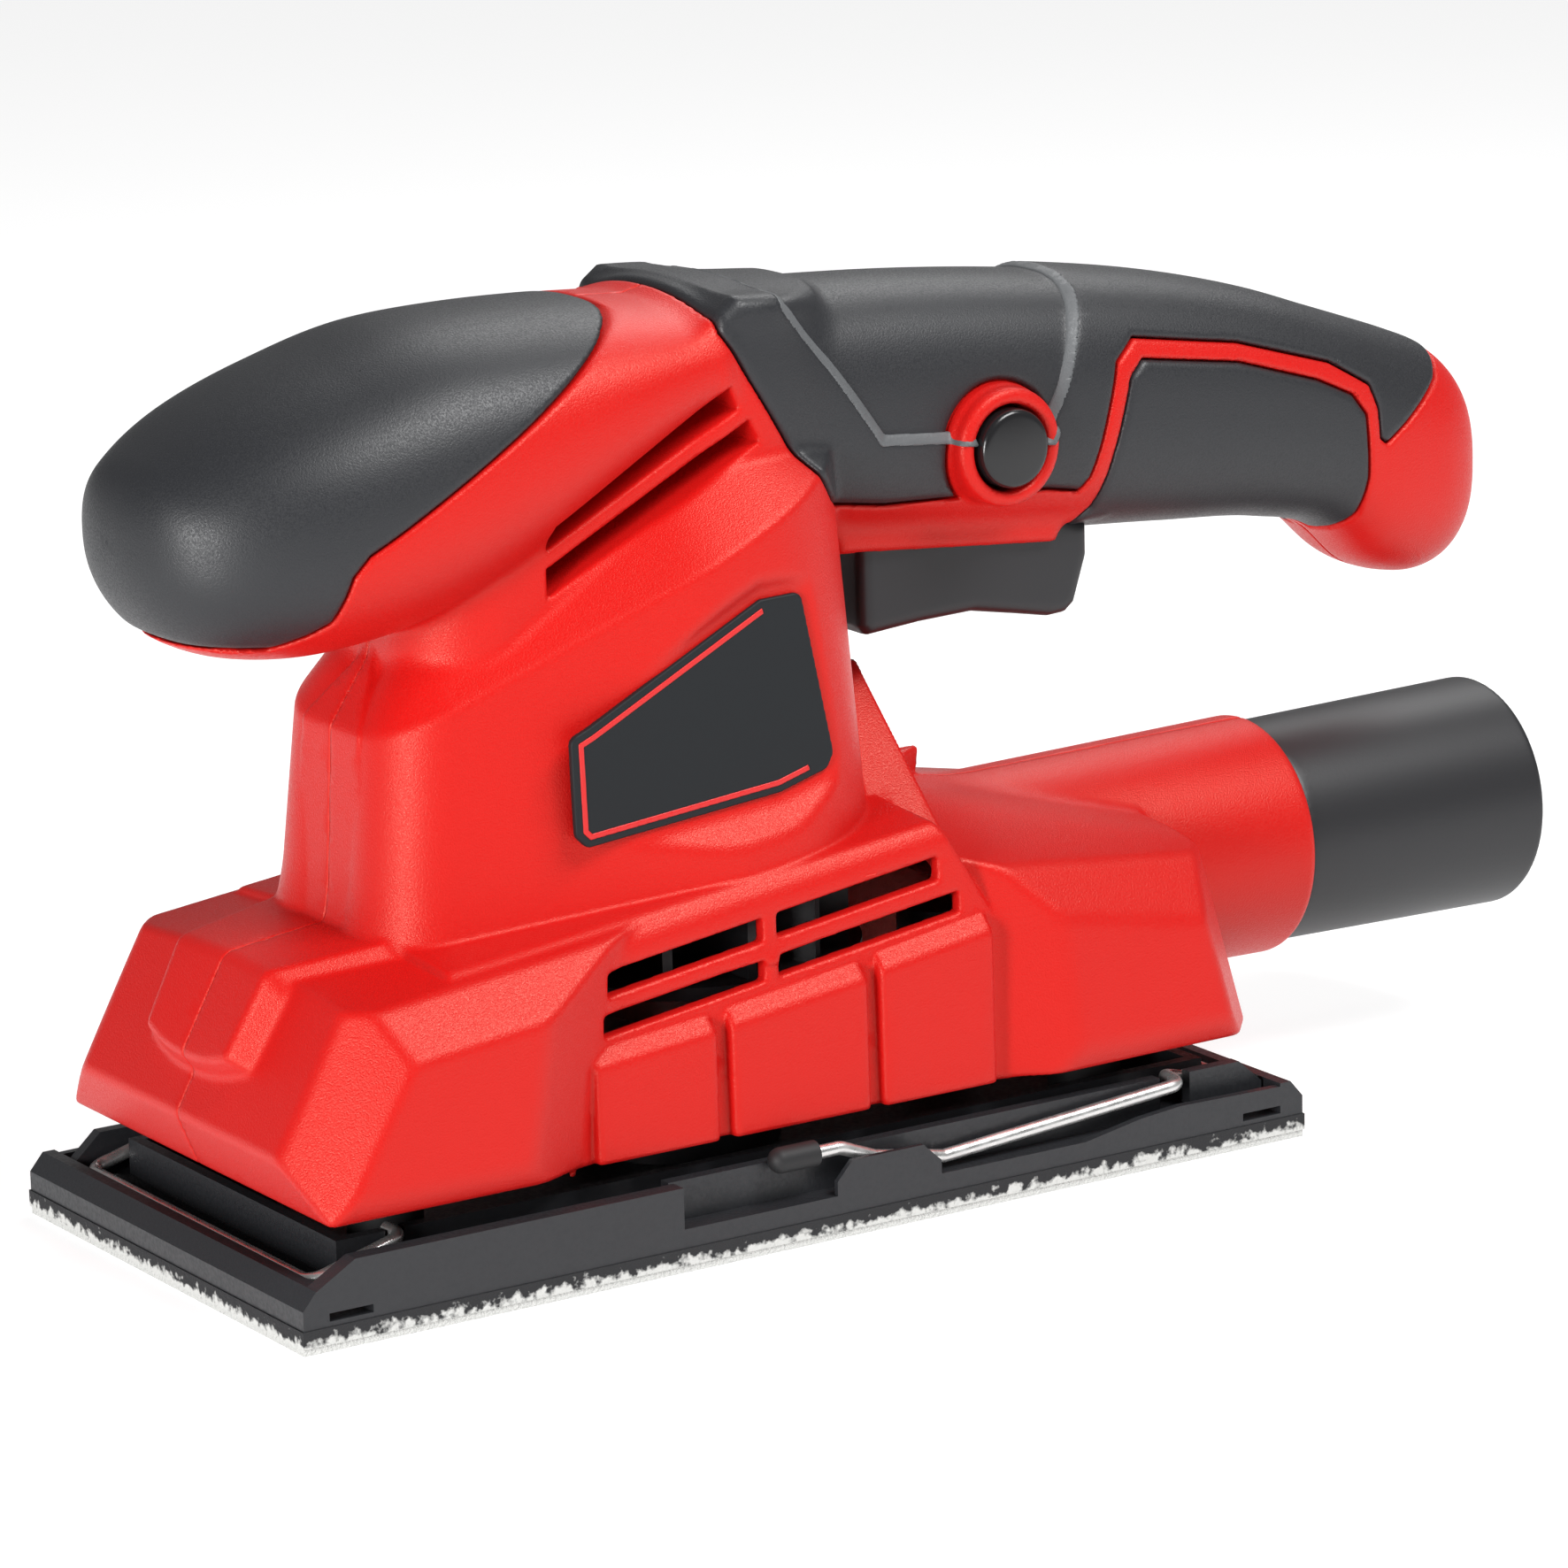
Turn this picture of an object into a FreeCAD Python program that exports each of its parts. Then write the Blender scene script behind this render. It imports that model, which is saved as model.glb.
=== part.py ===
import FreeCAD, Part
import math
import os
import Sketcher
from FreeCAD import Placement, Rotation, Vector

# Orbital sander. Millimetres, +Z up, +X towards the dust outlet.
# The origin is the centre of the sanding face.

SIZES = {
    # base plate, foam and loop layer
    "plate_len": 187.0, "plate_wid": 90.0, "loop_top": 1.2, "foam_top": 3.9, "foam_overhang": 0.25,
    "deck": 7.0, "lip_top": 9.8, "lip_wid": 4.5, "trough_wid": 7.6, "trough_floor": 4.7,
    "side_wall_top": 13.7, "side_wall_thick": 3.0, "side_wall_end": 26.0, "notch_end": 50.0,
    "inner_wall_y": 38.3, "inner_wall_thick": 2.2, "inner_wall_top": 13.4,
    "slot_front": 68.0, "slot_rear": 74.0, "block_end": 84.0,
    "hook_front": 5.3, "hook_rear": 18.7, "hook_top": 12.4, "hook_thick": 0.9,
    "tub_x": 81.3, "tub_y": 33.8, "tub_thick": 2.0, "tub_top": 13.0,
    "hub_rad": 17.5, "hub_top": 18.4,
    # clamp wires
    "wire_rad": 1.1, "wire_bend": 2.6, "wire_pivot_x": 71.0, "wire_pivot_z": 12.5, "wire_bar_x": 87.3,
    "wire_bar_z": 8.2, "wire_arm_y": 36.2, "wire_lever_y": 42.6, "wire_low_x": 24.0, "wire_low_z": 9.0,
    "wire_kink_x": 11.0, "wire_kink_z": 11.4, "wire_tip_x": 4.5, "wire_tip_z": 14.0, "wire_end_x": -5.0,
    "tip_rad": 2.1, "tip_len": 8.4,
    # housing
    "wall": 2.5, "neck_wall": 21.5, "skirt_low": 17.8, "shell_gap": 0.1,
    "tube_z": 38.8, "tube_front": 26.0, "tube_end": 115.8, "tube_front_rad": 18.6, "tube_end_rad": 20.4,
    "adapter_end": 164.7, "adapter_rad": 18.9, "adapter_end_rad": 19.8, "adapter_bore": 16.4,
    "spigot_rad": 16.2, "spigot_end": 128.0,
    # motor
    "motor_x": 1.0, "shaft_rad": 4.0, "shaft_low": 18.9, "shaft_top": 119.0,
    "bearing_bore": 4.03, "low_bearing_rad": 11.0, "low_bearing_z": 28.5, "low_bearing_len": 7.0,
    "top_bearing_rad": 9.5, "top_bearing_z": 111.5, "top_bearing_len": 6.0,
    "bracket_rad": 33.5, "bracket_low": 26.4, "bracket_top": 29.4, "bracket_boss_rad": 14.0,
    "bracket_boss_top": 35.6, "bracket_hole_rad": 8.0,
    "core_low": 59.0, "core_top": 87.0, "stator_rad": 26.0, "stator_bore": 15.4, "armature_rad": 14.9,
    "coil_len": 6.0, "coil_out": 24.0, "coil_in": 16.0, "winding_rad": 13.2,
    "commutator_rad": 9.0, "commutator_low": 95.5, "commutator_top": 107.5,
    "brush_z": 101.5, "brush_wid": 5.0, "brush_in": 9.3, "brush_out": 15.6, "brush_spring_out": 19.2,
    "holder_wid": 8.0, "holder_in": 10.6, "holder_out": 19.4,
    "fan_rad": 30.5, "fan_low": 37.5, "fan_web": 39.5, "fan_top": 51.0, "fan_hub_rad": 9.0,
    "fan_blade_in": 12.0, "fan_blade_thick": 1.6,
    # eccentric drive
    "pin_rad": 5.97, "pin_low": 9.2, "pin_top": 18.9, "collar_rad": 9.0, "collar_top": 25.4,
    "weight_rad": 21.0, "weight_low": 19.4,
    "drive_bearing_bore": 6.0, "drive_bearing_rad": 13.0, "drive_bearing_low": 9.0, "drive_bearing_len": 8.0,
    "retainer_rad": 16.6, "retainer_bore": 11.0, "retainer_low": 17.0,
    # posts
    "post_x": 66.0, "post_y": 22.0, "post_rad": 6.0, "post_low": 7.3, "post_top": 30.0,
    # switch gear
    "button_x": 53.5, "button_z": 116.6, "button_rad": 6.6, "button_out": 24.3, "button_in": 18.0,
    "button_bore": 6.9, "ring_rad": 9.9, "ring_out": 22.6, "button_travel": 3.0,
    "switch_len": 24.0, "switch_wid": 26.0, "switch_hgt": 20.0, "switch_x": 41.5, "switch_z": 108.0,
    "capacitor_rad": 7.0, "capacitor_len": 20.0, "capacitor_x": 84.0, "capacitor_z": 117.0,
    "trigger_half": 10.6, "trigger_top": 102.0, "pivot_x": 35.5, "pivot_z": 103.5, "pivot_rad": 1.5, "pivot_half": 12.6,
    "inlet_x": 145.0, "inlet_rad": 4.2, "inlet_low": 78.0, "inlet_top": 92.0,
}

doc = FreeCAD.newDocument("OrbitalSander")
sheet = doc.addObject("Spreadsheet::Sheet", "sizes")
for row, (alias, value) in enumerate(SIZES.items(), start=1):
    sheet.set(f"A{row}", alias)
    sheet.set(f"B{row}", str(value))
    sheet.setAlias(f"B{row}", alias)
doc.recompute()

PIECES = []


def val(alias):
    """Number in the sheet. "0" is zero and a leading minus negates."""
    if alias == "0":
        return 0.0
    if alias.startswith("-"):
        return -val(alias[1:])
    return float(getattr(sheet, alias))


def cell(text):
    """Expression with every alias turned into a reference to its cell."""
    words = text.replace("(", "( ").replace(")", " )").split()
    return " ".join(swap(word) for word in words)


def swap(word):
    sign = "-" if word.startswith("-") and len(word) > 1 else ""
    bare = word[len(sign):]
    return f"{sign}sizes.{bare}" if bare in SIZES else word


def bind(obj, **expressions):
    for name, text in expressions.items():
        obj.setExpression(name, cell(text))


def place(obj, x="0", y="0", z="0"):
    for axis, text in zip("xyz", (x, y, z)):
        obj.setExpression(f"Placement.Base.{axis}", cell(text))


def keep(obj, label):
    """Mark an object as a sub-part and give it its name."""
    obj.Label = label
    PIECES.append(obj)
    return obj


TURNS = {
    "Z": Rotation(),
    "X": Rotation(Vector(0, 1, 0), 90),
    "Y": Rotation(Vector(1, 0, 0), -90),
}


def box(name, length, width, height, x="0", y="0", z="0"):
    obj = doc.addObject("Part::Box", name)
    bind(obj, Length=length, Width=width, Height=height)
    place(obj, x, y, z)
    return obj


def rod(name, radius, height, x="0", y="0", z="0", along="Z"):
    obj = doc.addObject("Part::Cylinder", name)
    obj.Placement = Placement(Vector(), TURNS[along])
    bind(obj, Radius=radius, Height=height)
    place(obj, x, y, z)
    return obj


def cone(name, low_radius, top_radius, height, x="0", y="0", z="0", along="Z"):
    obj = doc.addObject("Part::Cone", name)
    obj.Placement = Placement(Vector(), TURNS[along])
    bind(obj, Radius1=low_radius, Radius2=top_radius, Height=height)
    place(obj, x, y, z)
    return obj


def fuse(name, parts):
    obj = doc.addObject("Part::MultiFuse", name)
    obj.Shapes = parts
    return obj


def common(name, parts):
    obj = doc.addObject("Part::MultiCommon", name)
    obj.Shapes = parts
    return obj


def cut(name, base, tool):
    obj = doc.addObject("Part::Cut", name)
    obj.Base = base
    obj.Tool = tool
    return obj


def solid(name, shape):
    obj = doc.addObject("Part::Feature", name)
    obj.Shape = shape
    return obj


def turned_over(name, source):
    """The same piece turned half a turn about Z, for the other end of the plate."""
    shape = source.Shape.copy()
    shape.rotate(Vector(), Vector(0, 0, 1), 180)
    return solid(name, shape)


def origin_plane(body, role):
    return next(item for item in body.Origin.OriginFeatures if item.Role == role)


def new_sketch(body, name, role):
    sketch = body.newObject("Sketcher::SketchObject", name)
    sketch.AttachmentSupport = [(origin_plane(body, role), "")]
    sketch.MapMode = "FlatFace"
    return sketch


def add_circle(sketch, radius):
    index = sketch.addGeometry(Part.Circle(Vector(), Vector(0, 0, 1), val(radius)), False)
    sketch.addConstraint(Sketcher.Constraint("Coincident", index, 3, -1, 1))
    number = sketch.addConstraint(Sketcher.Constraint("Radius", index, val(radius)))
    sketch.setExpression(f"Constraints[{number}]", cell(radius))


def add_outline(sketch, points):
    """Closed outline whose corners are held at distances read from the sheet."""
    corners = [Vector(val(across), val(up), 0) for across, up in points]
    count = len(corners)
    for index in range(count):
        line = Part.LineSegment(corners[index], corners[(index + 1) % count])
        sketch.addGeometry(line, False)
    for index in range(count):
        follow = (index + 1) % count
        sketch.addConstraint(Sketcher.Constraint("Coincident", index, 2, follow, 1))
    for index, (across, up) in enumerate(points):
        for kind, text in (("DistanceX", across), ("DistanceY", up)):
            rule = Sketcher.Constraint(kind, -1, 1, index, 1, val(text))
            number = sketch.addConstraint(rule)
            if text != "0":
                sketch.setExpression(f"Constraints[{number}]", cell(text))


def ring(name, outer, inner, height, x="0", z="0"):
    """Plain ring, such as a bearing: two circles padded upwards."""
    body = doc.addObject("PartDesign::Body", name)
    sketch = new_sketch(body, f"{name}_sketch", "XY_Plane")
    add_circle(sketch, outer)
    add_circle(sketch, inner)
    pad = body.newObject("PartDesign::Pad", f"{name}_pad")
    pad.Profile = sketch
    bind(pad, Length=height)
    place(body, x, "0", z)
    return body


def turned(name, points, x="0"):
    """Solid of revolution about Z from a half outline of (radius, height)."""
    body = doc.addObject("PartDesign::Body", name)
    sketch = new_sketch(body, f"{name}_sketch", "XZ_Plane")
    add_outline(sketch, points)
    turn = body.newObject("PartDesign::Revolution", f"{name}_turn")
    turn.Profile = sketch
    turn.ReferenceAxis = (sketch, ["V_Axis"])
    turn.Angle = 360
    place(body, x, "0", "0")
    return body


def prism(name, points, width_from, width_to):
    """Side-view outline of (x, z) numbers run across from one y to another."""
    wire = Part.makePolygon([Vector(x, width_from, z) for x, z in points + points[:1]])
    return solid(name, Part.Face(wire).extrude(Vector(0, width_to - width_from, 0)))


def bent_wire(points, radius, bend):
    """Round rod along straight runs that are joined by arcs of one bend radius."""
    edges = []
    start = points[0]
    for before, corner, after in zip(points, points[1:], points[2:]):
        back = (before - corner).normalize()
        ahead = (after - corner).normalize()
        half = back.getAngle(ahead) / 2
        reach = bend / math.tan(half)
        enter = corner + back * reach
        leave = corner + ahead * reach
        bisector = (back + ahead).normalize()
        middle = corner + bisector * (bend / math.sin(half) - bend)
        edges.append(Part.LineSegment(start, enter).toShape())
        edges.append(Part.Arc(enter, middle, leave).toShape())
        start = leave
    edges.append(Part.LineSegment(start, points[-1]).toShape())
    path = Part.Wire(edges)
    heading = (points[1] - points[0]).normalize()
    section = Part.Wire([Part.Circle(points[0], heading, radius).toShape()])
    return path.makePipeShell([section], True, True)


def egg(x, low, top, half, count=20, power=2.25):
    """Upright closed section across X: a rounded box between low and top."""
    middle = (low + top) / 2
    tall = (top - low) / 2
    points = []
    for step in range(count):
        angle = 2 * math.pi * (step + 0.5) / count
        size = (abs(math.cos(angle)) ** power + abs(math.sin(angle)) ** power) ** (-1 / power)
        points.append(Vector(x, half * size * math.cos(angle), middle + tall * size * math.sin(angle)))
    return Part.makePolygon(points + points[:1])


def loft_along(sections, inset):
    """Ruled loft through (x, low, top, half width) sections, each pulled in by inset."""
    wires = [egg(x, low + inset, top - inset, half - inset) for x, low, top, half in sections]
    return Part.makeLoft(wires, True, True)


def hull_outline(z, front, rear):
    """Plan outline at height z: a rear arc and a front nose joined by tangents.

    front is (x, y, radius) of the nose's corner arc, rear is (x, radius)."""
    nose_x, nose_y, nose_rad = front
    tail_x, tail_rad = rear
    span = math.hypot(tail_x - nose_x, nose_y)
    turn = math.asin((tail_rad - nose_rad) / span) - math.atan2(nose_y, tail_x - nose_x)
    side = Vector(-math.sin(turn), -math.cos(turn), 0)
    nose = Vector(nose_x, -nose_y, z)
    tail = Vector(tail_x, 0, z)
    mirror = FreeCAD.Matrix()
    mirror.scale(1, -1, 1)
    near_nose = nose + side * nose_rad
    near_tail = tail + side * tail_rad
    tip = nose + Vector(-nose_rad, 0, 0)
    elbow = nose + Vector(-1, -1, 0).normalize() * nose_rad
    flip = lambda point: mirror.multVec(point)
    edges = [
        Part.LineSegment(near_tail, near_nose).toShape(),
        Part.Arc(near_nose, elbow, tip).toShape(),
        Part.LineSegment(tip, flip(tip)).toShape(),
        Part.Arc(flip(tip), flip(elbow), flip(near_nose)).toShape(),
        Part.LineSegment(flip(near_nose), flip(near_tail)).toShape(),
        Part.Arc(flip(near_tail), tail + Vector(tail_rad, 0, 0), near_tail).toShape(),
    ]
    return Part.Wire(edges)


def facet_solid(rings):
    """Solid from stacked closed rings of corners, with flat triangular facets."""
    faces = []
    count = len(rings[0])
    triangle = lambda a, b, c: Part.Face(Part.makePolygon([a, b, c, a]))
    for lower, upper in zip(rings, rings[1:]):
        for index in range(count):
            follow = (index + 1) % count
            faces.append(triangle(lower[index], lower[follow], upper[follow]))
            faces.append(triangle(lower[index], upper[follow], upper[index]))
    for level in (rings[0], rings[-1]):
        centre = sum(level, Vector()) * (1 / count)
        for index in range(count):
            faces.append(triangle(level[index], level[(index + 1) % count], centre))
    return Part.Solid(Part.Shell(faces)).removeSplitter()


# Housing outline: near-side corners of the skirt from front to rear, each at four levels
# (bottom edge, top of the upright band, edge of the side panel, edge of the deck).
SKIRT_COLUMNS = [
    [(-86.4, -32.0, 17.8), (-90.0, -33.0, 26.5), (-78.6, -35.6, 47.4), (-77.0, -30.0, 48.3)],
    [(-86.4, -42.5, 17.8), (-86.6, -42.6, 21.0), (-71.5, -41.0, 39.9), (-75.0, -35.6, 48.4)],
    [(-53.0, -43.6, 17.8), (-52.4, -43.4, 20.5), (-46.5, -41.5, 43.3), (-40.0, -35.8, 52.3)],
    [(-42.5, -38.3, 17.8), (-42.0, -38.4, 21.0), (-37.0, -37.5, 42.0), (-36.0, -35.0, 53.0)],
    [(-14.0, -39.5, 17.8), (-14.0, -39.5, 21.0), (-14.0, -38.6, 42.0), (-15.0, -35.5, 55.8)],
    [(15.0, -39.2, 17.8), (15.0, -39.2, 21.0), (15.0, -38.4, 44.0), (15.0, -35.0, 60.0)],
    [(40.0, -37.4, 17.8), (39.5, -37.6, 21.0), (35.0, -36.5, 44.0), (29.5, -33.5, 61.0)],
    [(51.0, -42.4, 17.8), (51.0, -42.6, 21.0), (49.0, -41.0, 43.4), (44.0, -33.0, 57.5)],
    [(81.0, -41.5, 17.8), (82.0, -41.8, 21.5), (78.4, -39.0, 39.5), (79.0, -30.0, 49.5)],
    [(86.0, -34.0, 17.8), (88.6, -34.0, 22.0), (83.4, -30.0, 47.0), (80.0, -22.0, 52.0)],
]
SKIRT_HALF_LEN, SKIRT_HALF_WID = 86.4, 42.5

# Upright sections (x, low, top, half width) of the front knob and of the handle.
KNOB_SECTIONS = [
    (-97.0, 115.0, 122.5, 5.0), (-95.0, 108.5, 127.5, 12.0), (-89.0, 101.5, 132.0, 20.0),
    (-79.0, 98.0, 137.2, 25.5), (-65.0, 97.5, 142.0, 28.5), (-49.0, 100.5, 145.7, 29.0),
    (-33.0, 107.5, 146.8, 28.0), (-17.0, 117.0, 146.7, 26.0), (-2.0, 126.0, 146.3, 23.5),
]
HANDLE_SECTIONS = [
    (3.0, 114.0, 146.0, 21.0), (25.0, 106.0, 145.2, 20.0), (45.0, 101.0, 144.1, 19.5),
    (68.0, 98.5, 141.8, 19.5), (93.0, 96.5, 138.0, 19.0), (114.0, 94.5, 132.7, 18.3),
    (127.0, 91.0, 128.4, 17.6), (135.0, 84.0, 125.6, 17.0), (143.0, 81.0, 122.7, 16.0),
    (150.0, 81.2, 119.6, 14.5), (156.0, 85.5, 113.8, 11.5), (159.3, 92.5, 107.0, 7.0),
]

# Side views (x, z) of regions that are cut or run across the body.
NECK_SIDE = [
    (-56, 88), (-56, 98), (-50, 108), (-6, 140), (3, 145.6), (24, 144.4), (33, 118), (34, 100), (31, 88),
]
KNOB_GRIP_SIDE = [
    (-100, 101.5), (-88, 99.6), (-78, 98.8), (-70, 100), (-66, 106), (-62, 112), (-45, 123),
    (-30, 134), (-20, 143), (-16, 150), (-100, 150),
]
HANDLE_GRIP_SIDE = [
    (2, 150), (8, 143), (13, 131), (22, 116), (29, 109), (64, 106.2), (81, 103.5), (84, 96), (86, 123),
    (118, 117), (134, 109), (141, 108), (152, 121), (152, 150),
]
SIDE_GRIP_SIDE = [
    (84, 94), (90, 121), (112, 117.5), (132, 109.5), (133, 97), (129, 94), (119, 92),
]
PLATE_WINDOW = [(-37, 84.5), (-33, 86.5), (-1, 102.5), (7.5, 103), (12.8, 76), (11, 71), (-36, 65)]
LABEL_SIDE = [(-34.5, 83.0), (-31.5, 84.4), (0.5, 100.2), (8.0, 100.6), (12.4, 75), (11, 71.8), (-33.5, 66.4)]
LABEL_FACE, LABEL_THICK = 29.0, 0.6
SKIRT_SLOTS = [
    ((-33.5, 47.4), (28.8, 55.8), 3.9),
    ((-34.4, 40.7), (32.4, 49.6), 3.5),
]
SLOT_BAR = (-4.4, -1.8)
NECK_SLOTS = [
    [(-34, 116.4), (-1.4, 134.0), (0.3, 130.6), (-34, 112.0)],
    [(-34, 109.2), (2.0, 128.4), (3.9, 125.1), (-34, 104.1)],
]
RAIL_SIDE = [(26, 110), (27, 101), (69, 97.2), (71, 100.4), (82, 102), (82, 110)]
RAIL_HALF = 13.0
TRIGGER_SIDE = [
    (39, 106), (32, 106), (32, 88), (33.5, 85.6), (43.8, 87), (54, 87.3), (64, 85.7), (70, 84.2), (73.6, 84.8),
    (75.4, 87.4), (77, 94), (77, 99.5), (70, 102),
    (42, 102),
]
# Housing screws: (x, z) of the screw and the y of the right-hand surface there.
SCREWS = [
    (-68, 36.5, 41.0), (66, 36.5, 40.6), (-50, 60, 26.5), (-44, 102, 22.8), (15, 108, 22.3), (136.5, 98, 16.4),
]
SCREW_RAD, SCREW_HEAD_RAD, SCREW_HEAD_LEN, SCREW_SINK, SCREW_REACH, BOSS_RAD = 1.6, 3.2, 2.4, 5.5, 9.0, 4.6
RIM_FOOT, RIM_SLOPE = (-60.0, 84.5), 24.2


def skirt(inset, drop):
    """Faceted skirt; inset pulls the walls and deck in, drop lowers the open bottom."""
    grow_x = 1 - inset / SKIRT_HALF_LEN
    grow_y = 1 - inset / SKIRT_HALF_WID
    rings = []
    for level in range(4):
        down = drop if level == 0 else inset if level == 3 else 0
        near = [column[level] for column in SKIRT_COLUMNS]
        far = [(x, -y, z) for x, y, z in reversed(near)]
        rings.append([Vector(x * grow_x, y * grow_y, z - down) for x, y, z in near + far])
    return facet_solid(rings)


def tower(inset):
    """Motor tower: round about the motor, with a narrower nose in front."""
    low = hull_outline(46, (-51, 13.5, 13 - inset), (-2, 34 - inset))
    top = hull_outline(126, (-44, 11, 11.5 - inset), (-6, 30.5 - inset))
    return Part.makeLoft([low, top], True, True)


def above_rim(lift):
    """Everything above the sloping rim of the tower, raised by lift."""
    block = Part.makeBox(400, 200, 200, Vector(-200, -100, 0))
    block.rotate(Vector(), Vector(0, 1, 0), -RIM_SLOPE)
    block.translate(Vector(RIM_FOOT[0], 0, RIM_FOOT[1] + lift))
    return block


def shoulder(body):
    """Bevel that leads from the tower's rim up to the neck."""
    normal = Vector(-math.sin(math.radians(RIM_SLOPE)), 0, math.cos(math.radians(RIM_SLOPE)))
    foot = Vector(RIM_FOOT[0], 0, RIM_FOOT[1])
    rim = body.slice(normal, normal.dot(foot))[0]
    centre = rim.BoundBox.Center
    upper = rim.copy()
    upper.scale(0.76, centre)
    upper.translate(normal * 9)
    return Part.makeLoft([rim, upper], True, True)


def neck(inset):
    """Block between tower, knob and handle, rounded in plan."""
    plan = hull_outline(80, (-38, 8, 16 - inset), (6, 24 - inset))
    column = Part.Face(plan).extrude(Vector(0, 0, 70))
    side = [Vector(x, -50, z) for x, z in NECK_SIDE]
    face = Part.Face(Part.makePolygon(side + side[:1]))
    if inset:
        face = face.makeOffset2D(-inset, 2)
    return column.common(face.extrude(Vector(0, 100, 0)))


def slot_side(left, right, height):
    """Corners of a sloping slot between two points on its top edge."""
    return [left, right, (right[0] + 1.2, right[1] - height), (left[0], left[1] - height)]


def both_sides(name, points, inner, outer):
    """The same side-view prism on the left and on the right."""
    return [
        prism(f"{name}_left", points, -outer, -inner),
        prism(f"{name}_right", points, inner, outer),
    ]


# ---- housing: outer form ----
tower_form = tower(0)
skirt_form = solid("skirt_form", skirt(0, 0))
tower_body = solid("tower_body", tower_form.cut(above_rim(0)).fuse(shoulder(tower_form)))
neck_form = solid("neck_form", neck(0))
knob_form = solid("knob_form", loft_along(KNOB_SECTIONS, 0))
handle_form = solid("handle_form", loft_along(HANDLE_SECTIONS, 0))
tube_form = cone("tube_form", "tube_front_rad", "tube_end_rad", "tube_end - tube_front",
                 x="tube_front", z="tube_z", along="X")
rail_form = prism("rail_form", RAIL_SIDE, -RAIL_HALF, RAIL_HALF)
button_ring = rod("button_ring", "ring_rad", "ring_out", "button_x", "-ring_out", "button_z", along="Y")
housing_form = fuse("housing_form", [
    skirt_form, tower_body, neck_form, knob_form, handle_form, tube_form, button_ring, rail_form,
])

# ---- soft grips: the outer skin of knob and handle inside their side views ----
GRIP_THICK = 1.8
knob_core = solid("knob_core", loft_along(KNOB_SECTIONS[1:], GRIP_THICK))
handle_core = solid("handle_core", loft_along(HANDLE_SECTIONS, GRIP_THICK))
ring_clear = rod("ring_clear", "ring_rad + 0.4", "60", "button_x", "-60", "button_z", along="Y")


def grip(name, form, core, points, inner, outer, spare=None):
    region = prism(f"{name}_region", points, inner, outer)
    skin = cut(f"{name}_skin", common(f"{name}_form", [form, region]), core)
    if spare:
        skin = cut(f"{name}_skin_spared", skin, spare)
    return skin


knob_skin = grip("knob_skin", knob_form, fuse("knob_core_red", [knob_core, neck_form]),
                 KNOB_GRIP_SIDE, -60, 60)
handle_skin = grip("handle_skin", handle_form, fuse("handle_core_red", [handle_core, neck_form, rail_form]),
                   HANDLE_GRIP_SIDE, -60, 60, ring_clear)
left_skin = grip("left_skin", handle_form, handle_core, SIDE_GRIP_SIDE, -60, -7)
right_skin = grip("right_skin", handle_form, handle_core, SIDE_GRIP_SIDE, 7, 60)

# ---- housing: hollow inside, less the ribs and bosses that hold the works ----
skirt_hollow = solid("skirt_hollow", skirt(val("wall"), 2.0))
tower_hollow = solid("tower_hollow", tower(6.5).cut(above_rim(-3)))
neck_hollow = solid("neck_hollow", neck(val("wall")))
knob_hollow = solid("knob_hollow", loft_along(KNOB_SECTIONS[2:], 4.2))
handle_hollow = solid("handle_hollow", loft_along(HANDLE_SECTIONS[:-2], 4.2))
tube_hollow = rod("tube_hollow", "spigot_rad", "tube_end - tube_front", "tube_front", "0", "tube_z", "X")
hollow = fuse("hollow", [
    skirt_hollow, tower_hollow, neck_hollow, knob_hollow, handle_hollow, tube_hollow,
])


def rib(name, x="-100", length="300", z="0", height="200", y="-50", width="100"):
    return box(name, length, width, height, x, y, z)


ribs = [
    rib("low_stator_rib", z="core_low + 4", height="3"),
    rib("high_stator_rib", z="core_top - 7", height="3"),
    rib("bracket_rib", x="-40", length="82", z="bracket_top", height="3"),
    rib("top_bearing_rib", x="motor_x - 14", length="28", z="top_bearing_z", height="top_bearing_len"),
    rib("front_switch_rib", x="switch_x + 3", length="2.5", z="90", height="60"),
    rib("rear_switch_rib", x="switch_x + switch_len - 5", length="2.5", z="90", height="60"),
    rib("capacitor_rib", x="capacitor_x + 8", length="3", z="90", height="60"),
    rib("clamp_rib", x="120", length="8", z="80", height="22"),
]
posts = []
for end in ("-", ""):
    for side in ("-", ""):
        boss = rod("post_boss", "post_rad + 1.5", "40", f"{end}post_x", f"{side}post_y", "post_top")
        posts.append(boss)
screw_bosses = [
    rod("screw_boss", str(BOSS_RAD), "100", str(x), "-50", str(z), "Y") for x, z, side in SCREWS
]
inlet_boss = rod("inlet_boss", "inlet_rad + 2.6", "inlet_top - inlet_low", "inlet_x", "0", "inlet_low")
solid_inside = fuse("solid_inside", ribs + posts + screw_bosses + [inlet_boss])

pockets = fuse("pockets", [
    rod("stator_pocket", "stator_rad", "46", "motor_x", "0", "core_low - 8"),
    rod("fan_pocket", "fan_rad + 1.2", "fan_top - fan_low + 2.4", "motor_x", "0", "fan_low - 1.2"),
    rod("bracket_passage", "bracket_rad - 3", "8", "motor_x", "0", "bracket_top - 2"),
    rod("top_bearing_pocket", "top_bearing_rad", "top_bearing_len", "motor_x", "0", "top_bearing_z"),
    box("switch_pocket", "switch_len", "switch_wid", "switch_hgt",
        "switch_x", "-switch_wid / 2", "switch_z"),
    box("switch_leads", "14", "8", "14", "switch_x + 12", "-4", "switch_z + 3"),
    rod("capacitor_pocket", "capacitor_rad", "capacitor_len", "capacitor_x", "0", "capacitor_z", "X"),
])
void = fuse("void", [cut("hollow_ribbed", hollow, solid_inside), pockets])

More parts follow.
